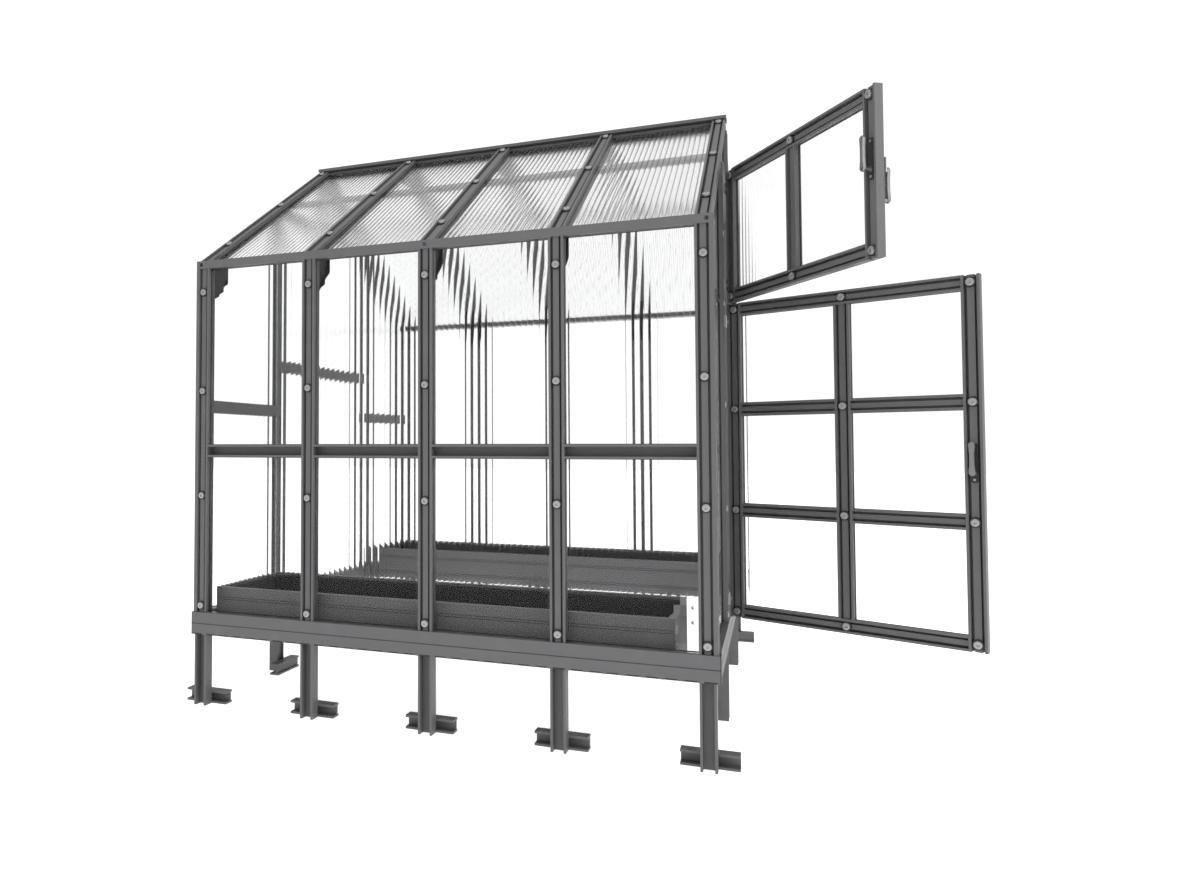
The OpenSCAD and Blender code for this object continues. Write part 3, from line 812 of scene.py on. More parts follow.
def fluted_sheet_tree() -> Grower:
    """Tree for one closed sheet with convex flutes on its outer face.

    Returns:
        The tree's grower.
    """
    sizes = ["Left", "Right", "Low", "Top Left", "Top Right", "Near", "Far", "Relief"]
    counts = {"Flutes": "NodeSocketInt", "Steps": "NodeSocketInt"}
    grower = Grower("fluted_sheet", {**{s: "NodeSocketFloat" for s in sizes}, **counts})
    book = grower.book
    left, right, low, top_left, top_right, near, far, relief = (grower.value(s) for s in sizes)
    flutes, steps = grower.value("Flutes"), grower.value("Steps")
    grid = book.add(
        "GeometryNodeMeshGrid", None,
        {"Size X": 1.0, "Size Y": 1.0, "Vertices X": flutes * steps + 1, "Vertices Y": 2},
    ).outputs[0]
    position = book.add("GeometryNodeInputPosition").outputs[0]
    spot = book.add("ShaderNodeSeparateXYZ", None, {0: position})
    across, up = Num(book, spot.outputs[0]) + 0.5, Num(book, spot.outputs[1]) + 0.5
    phase = (across * flutes).fract() * 2 - 1
    valley = phase * phase
    named = book.add(
        "GeometryNodeStoreNamedAttribute", {"data_type": "FLOAT", "domain": "POINT"},
        {"Geometry": grid, "Name": "flute", "Value": valley},
    ).outputs[0]
    top = top_left + (top_right - top_left) * across
    target = book.add(
        "ShaderNodeCombineXYZ", None,
        {0: left + (right - left) * across, 1: near + relief * valley, 2: low + (top - low) * up},
    ).outputs[0]
    outer = book.add("GeometryNodeSetPosition", None, {"Geometry": named, "Position": target}).outputs[0]
    back = book.add("ShaderNodeCombineXYZ", None, {1: far - near}).outputs[0]
    shell = book.add(
        "GeometryNodeExtrudeMesh", {"mode": "FACES"}, {"Mesh": outer, "Offset": back, "Individual": False}
    )
    here = book.add("ShaderNodeSeparateXYZ", None, {0: position})
    flat = book.add("ShaderNodeCombineXYZ", None, {0: here.outputs[0], 1: far, 2: here.outputs[2]}).outputs[0]
    inner = book.add(
        "GeometryNodeSetPosition", None,
        {"Geometry": shell.outputs["Mesh"], "Selection": shell.outputs["Top"], "Position": flat},
    ).outputs[0]
    turned = book.add("GeometryNodeFlipFaces", None, {0: inner}).outputs[0]
    join = book.add("GeometryNodeJoinGeometry")
    book.tree.links.new(outer, join.inputs[0])
    book.tree.links.new(turned, join.inputs[0])
    whole = book.add("GeometryNodeMergeByDistance", None, {0: join.outputs[0], "Distance": WELD}).outputs[0]
    grower.close(whole)
    return grower


def fastener_tree() -> Grower:
    """Tree that sets a head on every point of a mesh, facing along its attribute.

    Returns:
        The tree's grower.
    """
    grower = Grower(
        "fasteners", {"Head": "NodeSocketObject", "Seed": "NodeSocketInt", "Spin": "NodeSocketFloat"}
    )
    book = grower.book
    head = book.add(
        "GeometryNodeObjectInfo", {"transform_space": "ORIGINAL"}, {"Object": grower.given["Head"]}
    )
    facing = book.add(
        "GeometryNodeInputNamedAttribute", {"data_type": "FLOAT_VECTOR"}, {"Name": "facing"}
    ).outputs[0]
    aim = book.add("FunctionNodeAlignRotationToVector", {"axis": "Z"}, {"Vector": facing}).outputs[0]
    chance = {"Max": grower.given["Spin"], "Seed": grower.given["Seed"]}
    spin = book.add("FunctionNodeRandomValue", {"data_type": "FLOAT"}, chance)
    own = book.add(
        "FunctionNodeAxisAngleToRotation", None,
        {"Axis": (0, 0, 1), "Angle": next(o for o in spin.outputs if o.enabled)},
    ).outputs[0]
    turned = book.add(
        "FunctionNodeRotateRotation", {"rotation_space": "LOCAL"}, {"Rotation": aim, "Rotate By": own}
    ).outputs[0]
    heads = book.add(
        "GeometryNodeInstanceOnPoints", None,
        {"Points": grower.given["Geometry"], "Instance": head.outputs["Geometry"], "Rotation": turned},
    ).outputs[0]
    grower.close(heads)
    return grower


def bead_tree() -> Grower:
    """Tree that runs a six-sided bead along every edge loop of a mesh.

    Returns:
        The tree's grower.
    """
    grower = Grower("glazing_bead", {"Radius": "NodeSocketFloat"})
    book = grower.book
    curve = book.add("GeometryNodeMeshToCurve", None, {"Mesh": grower.given["Geometry"]}).outputs[0]
    ring = book.add(
        "GeometryNodeCurvePrimitiveCircle", None, {"Resolution": 6, "Radius": grower.given["Radius"]}
    )
    bead = book.add(
        "GeometryNodeCurveToMesh", None, {"Curve": curve, "Profile Curve": ring.outputs[0], "Fill Caps": True}
    ).outputs[0]
    grower.close(bead)
    return grower


# ---------------------------------------------------------------- glazing


@dataclass
class Pane:
    """One sheet in its wall's own coordinates."""

    place: Place
    left: float
    right: float
    low: float
    top_left: float
    top_right: float

    @classmethod
    def around(cls, place: Place, points: Sequence[Vector], trim: float) -> "Pane":
        """The pane that a lump of the CAD stands for.

        Args:
            place: the wall it sits in.
            points: corners of the lump.
            trim: length taken off both ends.

        Returns:
            The pane.
        """
        own = place.local(points)
        left, right = min(p.x for p in own), max(p.x for p in own)
        tops = [max(p.z for p in own if abs(p.x - side) < MM) for side in (left, right)]
        return cls(place, left, right, min(p.z for p in own) + trim, tops[0] - trim, tops[1] - trim)


@dataclass
class Glazing:
    """The fluted sheets of one CAD node, with the beads that hold them."""

    node: str
    places: Sequence[Place]
    finish: Finish
    inset: float = 10 * MM
    thickness: float = 6 * MM
    pitch: float = 17.8 * MM
    relief: float = 0.3 * MM
    steps: int = 8
    trim: float = 0
    clearance: float = 0.3 * MM
    bead_radius: float = 1.6 * MM
    bead_offset: float = 4.6 * MM

    def build(self, sheets: Grower, beads: Grower, places: Places) -> None:
        """Replaces the node by fluted sheets and adds the beads.

        Args:
            sheets: tree of a sheet.
            beads: tree of a bead.
            places: all walls.
        """
        near, far = self.inset, self.inset + self.thickness
        if self.trim:
            near, far = near + self.clearance, far - self.clearance
        panes = []
        for lump in lumps(self.node):
            place = self.places[0]
            if len(self.places) > 1:
                place = places.among(lump, self.places, self.inset, self.inset + self.thickness)
            panes.append(Pane.around(place, lump, self.trim))
        body = panes[0].place.body
        whole = bmesh.new()
        for pane in panes:
            mesh = sheets.grow(
                self.finish, Left=pane.left, Right=pane.right, Low=pane.low, Top_Left=pane.top_left,
                Top_Right=pane.top_right, Near=near, Far=far, Relief=self.relief,
                Flutes=max(1, round((pane.right - pane.left) / self.pitch)), Steps=self.steps,
            )
            mesh.transform(pane.place.matrix)
            whole.from_mesh(mesh)
            bpy.data.meshes.remove(mesh)
        data = bpy.data.meshes.new(f"{self.node}_fluted")
        whole.to_mesh(data)
        whole.free()
        data.materials.append(self.finish.material)
        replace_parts(place_mesh(data, f"{self.node}_fluted", body, smooth=4), self.node)
        self._beads(panes, beads, near, body)

    def _beads(self, panes: Sequence[Pane], beads: Grower, near: float, body: str) -> None:
        """Adds a black bead around the outer face of each pane.

        Args:
            panes: the panes.
            beads: tree of a bead.
            near: depth of their outer faces.
            body: the body they ride on.
        """
        loops = bmesh.new()
        gap, y = self.bead_offset, near - self.bead_radius
        for pane in panes:
            corners = [
                (pane.left + gap, y, pane.low + gap), (pane.right - gap, y, pane.low + gap),
                (pane.right - gap, y, pane.top_right - gap), (pane.left + gap, y, pane.top_left - gap),
            ]
            verts = [loops.verts.new(pane.place.matrix @ Vector(c)) for c in corners]
            for i in range(4):
                loops.edges.new((verts[i], verts[(i + 1) % 4]))
        seed = bpy.data.meshes.new(f"{self.node}_beads")
        loops.to_mesh(seed)
        loops.free()
        mesh = beads.grow(Finish.BLACK, seed, Radius=self.bead_radius)
        place_mesh(mesh, f"{self.node}_beads", body)


# ---------------------------------------------------------------- fasteners


@dataclass
class BoltHead:
    """A round head with an eased rim, a hexagon socket and an undercut seat."""

    radius: float = 11 * MM
    height: float = 10 * MM
    rim: float = 1.6 * MM
    socket: float = 4 * MM
    socket_depth: float = 2.5 * MM
    undercut: float = 1.2 * MM
    seat_share: float = 0.8
    rim_bend: tuple[float, float] = (0.3, 0.35)
    socket_flare: float = 1.25
    socket_lead: float = 0.4 * MM

    def mesh(self) -> bpy.types.Object:
        """The head at the origin, its seat at z = 0 and its top towards +z."""
        r, h, e = self.radius, self.height, self.rim
        seat, (across, down) = r * self.seat_share, self.rim_bend
        profile = [
            (seat, 0), (seat, self.undercut), (r, self.undercut), (r, h - e),
            (r - across * e, h - down * e), (r - e, h), (self.socket * self.socket_flare, h),
            (self.socket, h - self.socket_lead, "hex"), (self.socket, h - self.socket_depth, "hex"),
        ]
        return Shape().lathe(profile, count=24).seed_object("bolt_head")


def washer(radius: float = 14.8 * MM, height: float = 4 * MM, edge: float = 0.4 * MM) -> bpy.types.Object:
    """A black washer that shows as a ring around a bolt head: painted shade, standing in for the shadow ring
    around the head.

    Args:
        radius: its radius.
        height: its thickness.
        edge: how much its rim is eased.

    Returns:
        The washer at the origin.
    """
    profile = [(radius, 0), (radius, height - edge), (radius - edge, height)]
    return Shape().lathe(profile, count=24).seed_object("washer")


def facing_points(seats: Sequence[Point], facings: Sequence[Vector]) -> bpy.types.Mesh:
    """A mesh of points that each carry the way they face.

    Args:
        seats: the points.
        facings: their directions.

    Returns:
        The mesh.
    """
    points = bmesh.new()
    facing = points.verts.layers.float_vector.new("facing")
    for seat, way in zip(seats, facings):
        vert = points.verts.new(seat)
        vert[facing] = way
    mesh = bpy.data.meshes.new("seats")
    points.to_mesh(mesh)
    points.free()
    return mesh


@dataclass
class Fasteners:
    """Detailed heads in place of one CAD node of bolts."""

    node: str
    places: Sequence[Place]
    finish: Finish = Finish.BOLT
    height: float = 10 * MM

    def build(
        self, heads: Grower, head: bpy.types.Object, ring: bpy.types.Object, places: Places
    ) -> None:
        """Replaces the node by detailed heads on black washers, which are painted shade for the shadow rings
        around the heads.

        Args:
            heads: tree that sets the heads.
            head: the head.
            ring: the black washer, painted shade for the shadow ring around a head.
            places: all walls.
        """
        seats, facings = [], []
        for lump in lumps(self.node):
            place = self.places[0]
            if len(self.places) > 1:
                place = places.among(lump, self.places, -self.height, 0)
            own = place.local(lump)
            xs, zs = [p.x for p in own], [p.z for p in own]
            centre = Vector(((min(xs) + max(xs)) / 2, 0, (min(zs) + max(zs)) / 2))
            seats.append(place.matrix @ centre)
            facings.append(place.matrix.to_3x3() @ Vector((0, -1, 0)))
        body = self.places[0].body
        mesh = heads.grow(self.finish, facing_points(seats, facings), Head=head, Seed=3, Spin=math.tau)
        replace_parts(place_mesh(mesh, f"{self.node}_heads", body), self.node)
        # Black washers under the heads: painted shade for the shadow ring around each head.
        mesh = heads.grow(Finish.BLACK, facing_points(seats, facings), Head=ring, Seed=3, Spin=0.0)
        place_mesh(mesh, f"{self.node}_washers", body)


# ---------------------------------------------------------------- fittings


def corners_of(points: Sequence[Vector]) -> tuple[Vector, Vector]:
    """Lowest and highest corners of some points.

    Args:
        points: the points.

    Returns:
        Both corners.
    """
    low = Vector([min(p[i] for p in points) for i in range(3)])
    high = Vector([max(p[i] for p in points) for i in range(3)])
    return low, high


@dataclass
class EasedBars:
    """Straight bars of the CAD, drawn with eased edges and ends."""

    node: str
    finish: Finish
    radius: float = 1.5 * MM
    widest: float = 0.4
    arc: int = 4

    def build(self) -> None:
        """Replaces every bar of the node."""
        shape = Shape()
        for lump in lumps(self.node):
            low, high = corners_of(lump)
            size, middle = high - low, (low + high) / 2
            run = max(range(3), key=lambda i: size[i])
            across = [i for i in range(3) if i != run]
            axes = Matrix.Identity(4)
            for column, axis in zip((0, 1, 2), (across[0], run, across[1])):
                axes.col[column] = Vector([float(i == axis) for i in range(4)])
            width, height = size[across[0]], size[across[1]]
            radius = min(self.radius, self.widest * min(width, height))
            shape.prism(
                rounded(width, height, radius, self.arc), -size[run] / 2, size[run] / 2,
                Matrix.Translation(middle) @ axes, edge=radius / 2,
            )
        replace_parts(shape.piece(f"{self.node}_eased", "house", self.finish), self.node)


@dataclass
class RidgeGaskets:
    """Black fluted gaskets below the skirts of the ridge cap, one in each bay."""

    skirt: float = 12 * MM
    height: float = 6 * MM
    thick: float = 4 * MM
    setback: float = 1 * MM
    groove: float = 5 * MM
    flute: float = 8.9 * MM
    swell: float = 0.8 * MM

    def build(self) -> None:
        """Adds the gaskets of both slopes."""
        shape = Shape()
        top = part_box("ridge_cap")[1].z - self.skirt + MM
        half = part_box("ridge_cap")[1].y
        for side, node in ((-1, "front_roof_panes"), (1, "rear_roof_panes")):
            for lump in lumps(node):
                low, high = corners_of(lump)
                left, right = low.x + self.groove, high.x - self.groove
                steps = round((right - left) / self.flute)
                rings = []
                for i in range(steps + 1):
                    x = left + (right - left) * i / steps
                    outer = half - self.setback - self.swell * (i % 2)
                    inner = half - self.setback - self.thick
                    under = top - self.height
                    section = ((outer, top), (inner, top), (inner, under), (outer, under))
                    rings.append([(x, side * y, z) for y, z in section])
                shape.solid(rings)
        shape.piece("ridge_gaskets", "house", Finish.BLACK)


@dataclass
class BoardPlugs:
    """Black plugs in the punched lower edges of the base boards: painted shade for the dark inside of each
    slot.
    """

    pitch: float = 53 * MM
    length: float = 36 * MM
    height: float = 5 * MM
    depth: float = 12 * MM
    play: float = 0.3 * MM
    recess: float = 0.1 * MM
    corner: float = 1.2 * MM
    edge: float = 0.5 * MM
    slack: float = 1e-6

    def build(self, heads: Grower) -> None:
        """Fills the slots of all four boards.

        Args:
            heads: tree that sets a piece on every point.
        """
        low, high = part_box("front_base_board")
        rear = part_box("rear_base_board")[1]
        middle = self.recess + (self.depth - self.recess) / 2
        long_seats = [(x, y, 0) for x in self._runs(low.x, high.x) for y in (low.y + middle, rear.y - middle)]
        self._set(heads, "long_board_plugs", long_seats, Matrix.Identity(4))
        low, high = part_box("end_base_boards")
        end_seats = [(x, y, 0) for y in self._runs(low.y, high.y) for x in (low.x + middle, high.x - middle)]
        self._set(heads, "end_board_plugs", end_seats, Matrix.Rotation(math.pi / 2, 4, "Z"))

    def _runs(self, start: float, end: float) -> list[float]:
        """Middles of the slots along one board.

        Args:
            start: where the board starts.
            end: where it ends.

        Returns:
            The middles.
        """
        count = math.floor((end - start - self.length) / self.pitch + self.slack) + 1
        middle = (start + end) / 2
        return [middle + (i - (count - 1) / 2) * self.pitch for i in range(count)]

    def _set(self, heads: Grower, name: str, seats: Sequence[Point], turn: Matrix) -> None:
        """Sets the black shade plugs on some seats.

        Args:
            heads: tree that sets a piece on every point.
            name: name of the piece.
            seats: middles of the slots, on the lower edge.
            turn: how the plug lies.
        """
        width, height = self.length - 2 * self.play, self.height - 2 * self.play
        half = (self.depth - self.recess) / 2 - self.play
        lift = turn @ Matrix.Translation((0, 0, self.height / 2))
        outline = rounded(width, height, self.corner, 2)
        shape = Shape().prism(outline, -half, half, lift, self.edge)
        plug = shape.seed_object("plug")
        facings = [Vector((0, 0, 1))] * len(seats)
        # Black plugs: painted shade that darkens each slot.
        mesh = heads.grow(Finish.BLACK, facing_points(seats, facings), Head=plug, Seed=1, Spin=0.0)
        bpy.data.objects.remove(plug)
        place_mesh(mesh, name, "house")


@dataclass
class BedSeams:
    """Black strips in the pairs of grooves around the boards of the beds."""

    board: float = 20 * MM
    liner_drop: float = 8 * MM
    course: float = 77 * MM
    apart: float = 8 * MM
    groove: float = 2.5 * MM
    recess: float = 0.3 * MM
    ease: float = 0.3 * MM

    def build(self) -> None:
        """Adds the strips of both beds."""
        shape = Shape()
        for lump in lumps("bed_liners"):
            low, high = corners_of(lump)
            low, high = low - Vector((self.board, self.board, 0)), high + Vector((self.board, self.board, 0))
            joint = high.z + self.liner_drop - self.course
            middles = (joint + self.course / 2, (low.z + joint) / 2)
            for height in (m + s * self.apart / 2 for m in middles for s in (-1, 1)):
                self._ring(shape, low, high, height)
        shape.piece("bed_seams", "house", Finish.BLACK)

    def _ring(self, shape: Shape, low: Vector, high: Vector, height: float) -> None:
        """Adds the four strips at one height.

        Args:
            shape: the shape they join.
            low: lowest corner of the bed.
            high: highest corner.
            height: middle of the strips.
        """
        depth = self.groove - self.recess
        tall = self.groove - 2 * self.recess
        middle = (low + high) / 2
        long_half, short_half = (high.x - low.x) / 2, (high.y - low.y) / 2 - self.board
        for side in (-1, 1):
            out = side * ((high.y - low.y) / 2 - self.groove + depth / 2)
            at = Matrix.Translation((middle.x, middle.y + out, height))
            turn = at @ Matrix.Rotation(math.pi / 2, 4, "Z")
            reach = long_half - self.groove
            shape.prism(rounded(depth, tall, self.ease, 2), -reach, reach, turn)
            out = side * (long_half - self.groove + depth / 2)
            at = Matrix.Translation((middle.x + out, middle.y, height))
            shape.prism(rounded(depth, tall, self.ease, 2), -short_half, short_half, at)


@dataclass
class BedBrackets:
    """Small zinc tabs with screws on the ends of the beds."""

    board: float = 20 * MM
    width: float = 30 * MM
    height: float = 24 * MM
    corner: float = 4 * MM
    gauge: float = 3 * MM
    inset: float = 18 * MM
    levels: tuple[float, float] = (0.25, 0.75)
    head: float = 6 * MM
    head_height: float = 3.6 * MM
    head_points: int = 18
    edge: float = 0.6 * MM
    dome: tuple[tuple[float, float], ...] = ((1, 0), (1, 0.35), (0.85, 0.7), (0.5, 0.95), (0.2, 1))

    def build(self) -> None:
        """Replaces the brackets of the CAD."""
        shape = Shape()
        base, crown = (corner.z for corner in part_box("bed_brackets"))
        for lump in lumps("bed_liners"):
            low, high = corners_of(lump)
            middle, half = (low + high) / 2, (high - low) / 2
            for sx in (-1, 1):
                for sy in (-1, 1):
                    x = middle.x + sx * (half.x + self.board)
                    y = middle.y + sy * (half.y + self.board - self.inset)
                    for level in self.levels:
                        at = Matrix.Translation((x, y, base + level * (crown - base)))
                        self._tab(shape, at @ Matrix.Rotation(sx * math.pi / 2, 4, "Z"))
        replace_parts(shape.piece("bed_brackets_tabs", "house", Finish.HARDWARE), "bed_brackets")

    def _tab(self, shape: Shape, at: Matrix) -> None:
        """Adds one tab and its screw.

        Args:
            shape: the shape they join.
            at: middle of the tab on the face of the board, -y outwards.
        """
        shape.prism(rounded(self.width, self.height, self.corner), -self.gauge, 0, at, self.edge)
        dome = [(share * self.head, rise * self.head_height) for share, rise in self.dome]
        seat = at @ Matrix.Translation((0, -self.gauge, 0)) @ Matrix.Rotation(math.pi / 2, 4, "X")
        shape.lathe(dome, seat, self.head_points)


@dataclass
class KneeBrackets:
    """Curved black brackets: a web with a flange along each of its three sides."""

    web: float = 5 * MM
    flange: float = 26 * MM
    end_flange: float = 8 * MM
    gauge: float = 3 * MM
    bulge: tuple[float, float] = (105 * MM, 53 * MM)
    steps: int = 12
    end_zone: float = 50 * MM
    snap: float = 0.02 * MM
    digits: int = 5

    def build(self) -> None:
        """Replaces the brackets of the CAD."""
        shape = Shape()
        for lump in lumps("knee_brackets"):
            low, high = corners_of(lump)
            x = (low.x + high.x) / 2
            side = 1 if low.y + high.y > 0 else -1
            ends = abs(x) > max(abs(c.x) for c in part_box("front_roof_panes")) - self.end_zone
            self._bracket(shape, lump, x, side, self.end_flange if ends else self.flange)
        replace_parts(shape.piece("knee_brackets_flanged", "house", Finish.BLACK), "knee_brackets")

    def _bracket(self, shape: Shape, lump: Sequence[Vector], x: float, side: int, flange: float) -> None:
        """Adds one bracket.

        Args:
            shape: the shape it joins.
            lump: corners of the CAD bracket.
            x: its middle plane.
            side: 1 at the rear, -1 at the front.
            flange: width of its flanges.
        """
        corners = {(round(p.y * side, self.digits), round(p.z, self.digits)) for p in lump}
        outline = sorted(corners, key=lambda p: p[1])
        back = max(p[0] for p in outline)
        top = max((p for p in outline if abs(p[0] - back) < self.snap), key=lambda p: p[1])
        heel, tip = Vector(outline[0]), Vector(max(outline, key=lambda p: back - p[0]))
        bend = heel + Vector((-self.bulge[0], self.bulge[1]))
        curve = [
            heel * (1 - t) ** 2 + bend * (2 * t * (1 - t)) + tip * t * t
            for t in (i / self.steps for i in range(self.steps + 1))
        ]
        closed = [Vector(top)] + curve
        middle = sum(closed, Vector((0, 0))) / len(closed)
        half = min(self.web, flange) / 2
        shape.solid([[(x + s * half, side * p.x, p.y) for p in closed] for s in (-1, 1)])
        for path in ([closed[1], closed[0]], [closed[0], closed[-1]], closed[1:]):
            self._strip(shape, path, middle, x, side, flange)

    def _strip(
        self, shape: Shape, path: Sequence[Vector], middle: Vector, x: float, side: int, width: float
    ) -> None:
        """Adds a flange that lies inside an outline.

        Args:
            shape: the shape it joins.
            path: points along the outline, as y and z.
            middle: a point inside it.
            x: middle plane of the bracket.
            side: 1 at the rear, -1 at the front.
            width: width of the flange.
        """
        rings = []
        for i, point in enumerate(path):
            along = (path[min(i + 1, len(path) - 1)] - path[max(i - 1, 0)]).normalized()
            inward = Vector((-along.y, along.x))
            if inward.dot(middle - point) < 0:
                inward = -inward
            under = point + inward * self.gauge
            corners = ((point, -1), (point, 1), (under, 1), (under, -1))
            rings.append([(x + s * width / 2, side * p.x, p.y) for p, s in corners])
        shape.solid(rings)


@dataclass
class Liners:
    """Film liners of the beds, creased, with a rolled lip."""

    film: float = 0.8 * MM
    lip: float = 2.5 * MM
    crease: float = 5 * MM
    step: float = 22 * MM
    levels: int = 10
    floor_rings: int = 14
    lip_curve: tuple[tuple[float, float], ...] = ((0, 1), (0.35, 0.25), (1, 0), (1.65, 0.25), (2, 1))
    folds: float = 13
    tiers: float = 9
    ripples: float = 11
    centre: float = 0.97
    crowding: float = 0.7

    def build(self) -> None:
        """Replaces both liners."""
        shape = Shape()
        for lump in lumps("bed_liners"):
            self._liner(shape, *corners_of(lump))
        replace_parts(shape.piece("bed_liners_creased", "house", Finish.LINER, smooth=50), "bed_liners")

    def _liner(self, shape: Shape, low: Vector, high: Vector) -> None:
        """Adds one liner as a closed film.

        Args:
            shape: the shape it joins.
            low: lowest corner of its space.
            high: highest corner.
        """
        middle, half = (low + high) / 2, (high - low) / 2
        spine = half.x - half.y
        across, along = round(2 * half.y / self.step), round(2 * half.x / self.step)
        rim = [Vector((half.x, -half.y + 2 * half.y * i / across)) for i in range(across)]
        rim += [Vector((half.x - 2 * half.x * i / along, half.y)) for i in range(along)]
        rim += [-p for p in rim]
        reach = half.y
        rings = []

        def ring(inset: float, height: float, fold: float, lift: float) -> None:
            """Adds a ring.

            Args:
                inset: how far inside the rim it lies.
                height: its height.
                fold: how far the creases push it inwards.
                lift: how far they raise it.
            """
            points = []
            for p in rim:
                base = Vector((max(-spine, min(spine, p.x)), 0))
                fall = noise.noise(Vector((p.x * self.folds, p.y * self.folds, height * self.tiers + low.y)))
                share = 1 - (inset + fold * (0.5 + 0.5 * fall)) / reach
                spot = base + (p - base) * share
                swell = noise.noise(Vector((spot.x * self.ripples, spot.y * self.ripples, low.y)))
                rise = lift * (0.5 + 0.5 * swell)
                points.append((middle.x + spot.x, middle.y + spot.y, height + rise))
            rings.append(points)

        top, wall = high.z - self.lip, self.film
        ring(reach * self.centre, low.z, 0, 0)
        ring(0, low.z, 0, 0)
        for share, drop in self.lip_curve:
            ring(self.lip * share, high.z - self.lip * drop, 0, 0)
        floor = low.z + self.crease
        for i in range(self.levels):
            share = (i + 1) / self.levels
            ring(wall + self.film, top - self.lip - (top - self.lip - floor) * share, self.crease, 0)
        for i in range(self.floor_rings):
            share = ((i + 1) / self.floor_rings) ** self.crowding
            inset = wall + self.crease + (self.centre * reach - wall - self.crease) * share
            ring(inset, low.z + wall, 0, self.crease)
        shape.solid(rings)


# ---------------------------------------------------------------- hardware of the doors


@dataclass
class Handles:
    """Plates and levers of one door's handle, as turned and eased pieces."""

    door: str
    gauge: float = 3 * MM
    ease: float = 0.8 * MM
    lever_ease: float = 2.2 * MM
    waist: float = 5.6 * MM
    neck: float = 6.4 * MM
    play: float = 0.3 * MM
    screw_inset: float = 9 * MM
    plate_round: float = 0.45
    tip_share: float = 0.92
    arc: int = 8
    plate_arc: int = 7
    waist_span: tuple[float, float] = (0.3, 0.7)
    neck_slim: float = 0.8
    neck_span: tuple[float, float] = (0.2, 0.8)
    neck_points: int = 18

    def build(self, place: Place, heads: Grower, screw: bpy.types.Object) -> None:
        """Replaces the plates and the levers.

        Args:
            place: the door.
            heads: tree that sets the screws.
            screw: a screw head.
        """
        seats, facings = [], []
        plates, levers = Shape(), Shape()
        for lump in lumps(f"{self.door}_handle_plates"):
            low, high = corners_of(place.local(lump))
            middle = (low + high) / 2
            outward = -1 if middle.y < 0 else 1
            at = place.matrix @ Matrix.Translation((middle.x, 0, middle.z))
            width, height = high.x - low.x, high.z - low.z
            outline = rounded(width, height, self.plate_round * width, self.plate_arc)
            plates.prism(outline, low.y, high.y, at, self.ease)
            for z in (low.z + self.screw_inset, high.z - self.screw_inset):
                face = low.y if outward < 0 else high.y
                seats.append(place.matrix @ Vector((middle.x, face, z)))
                facings.append(place.matrix.to_3x3() @ Vector((0, outward, 0)))
        for lump in lumps(f"{self.door}_levers"):
            self._lever(levers, place, *corners_of(place.local(lump)))
        body, moving = f"{self.door}_door", f"{self.door}_handle"
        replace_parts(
            plates.piece(f"{self.door}_handle_plates_eased", body, Finish.BLACK), f"{self.door}_handle_plates"
        )
        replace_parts(levers.piece(f"{self.door}_levers_eased", moving, Finish.HANDLE), f"{self.door}_levers")
        mesh = heads.grow(Finish.HARDWARE, facing_points(seats, facings), Head=screw, Seed=5, Spin=math.tau)
        place_mesh(mesh, f"{self.door}_plate_screws", body)

    def _lever(self, shape: Shape, place: Place, low: Vector, high: Vector) -> None:
        """Adds a waisted lever with its neck.

        Args:
            shape: the shape it joins.
            place: the door.
            low: lowest corner of the CAD lever in the door's coordinates.
            high: highest corner.
        """
        radius = (high.x - low.x) / 2
        hub = Vector(((low.x + high.x) / 2, 0, low.z + radius))
        at = place.matrix @ Matrix.Translation(hub)
        tip = high.z - hub.z - radius
        outline = []
        for i in range(self.arc + 1):
            turn = math.pi * (1 + i / self.arc)
            outline.append((radius * math.cos(turn), radius * math.sin(turn)))
        waist = [(self.waist, tip * share) for share in self.waist_span]
        outline += waist
        end_radius = radius * self.tip_share
        for i in range(self.arc + 1):
            turn = math.pi * i / self.arc
            outline.append((end_radius * math.cos(turn), tip + end_radius * math.sin(turn)))
        outline += [(-x, z) for x, z in reversed(waist)]
        shape.prism(outline, low.y, high.y, at, self.lever_ease)
        plate = -self.gauge if low.y < 0 else stile_depth(self.door, place) + self.gauge
        start, end = (high.y, plate - self.play) if low.y < 0 else (plate + self.play, low.y)
        away = Matrix.Rotation(math.pi / 2, 4, "X")
        neck = at @ Matrix.Translation((0, end, 0)) @ away
        length = end - start
        slim = self.neck * self.neck_slim
        flare = [(self.neck, 0), *((slim, length * share) for share in self.neck_span), (self.neck, length)]
        shape.lathe(flare, neck, self.neck_points)


def stile_depth(door: str, place: Place) -> float:
    """Depth of a door's stiles behind its bolt plane.

    Args:
        door: the door's short name.
        place: the door.

    Returns:
        The depth in metres.
    """
    return max(p.y for lump in lumps(f"{door}_door_stiles") for p in place.local(lump))


@dataclass
class HingeScrews:
    """Screws in the plates of the jamb's hinge leaves."""

    leaf_face: float = 9 * MM
    columns: tuple[float, float] = (8 * MM, 19 * MM)
    rows: tuple[float, float] = (0.2, 0.8)

    def build(self, place: Place, heads: Grower, screw: bpy.types.Object) -> None:
        """Adds the screws.

        Args:
            place: the wall of the doors.
            heads: tree that sets the screws.
            screw: a screw head.
        """
        seats = []
        for lump in lumps("jamb_hinge_leaves"):
            low, high = corners_of(place.local(lump))
            for column in self.columns:
                for row in self.rows:
                    spot = Vector((low.x + column, -self.leaf_face, low.z + row * (high.z - low.z)))
                    seats.append(place.matrix @ spot)
        facings = [place.matrix.to_3x3() @ Vector((0, -1, 0))] * len(seats)
        mesh = heads.grow(Finish.BOLT, facing_points(seats, facings), Head=screw, Seed=7, Spin=math.tau)
        place_mesh(mesh, "jamb_hinge_screws", "house")


# ---------------------------------------------------------------- frame


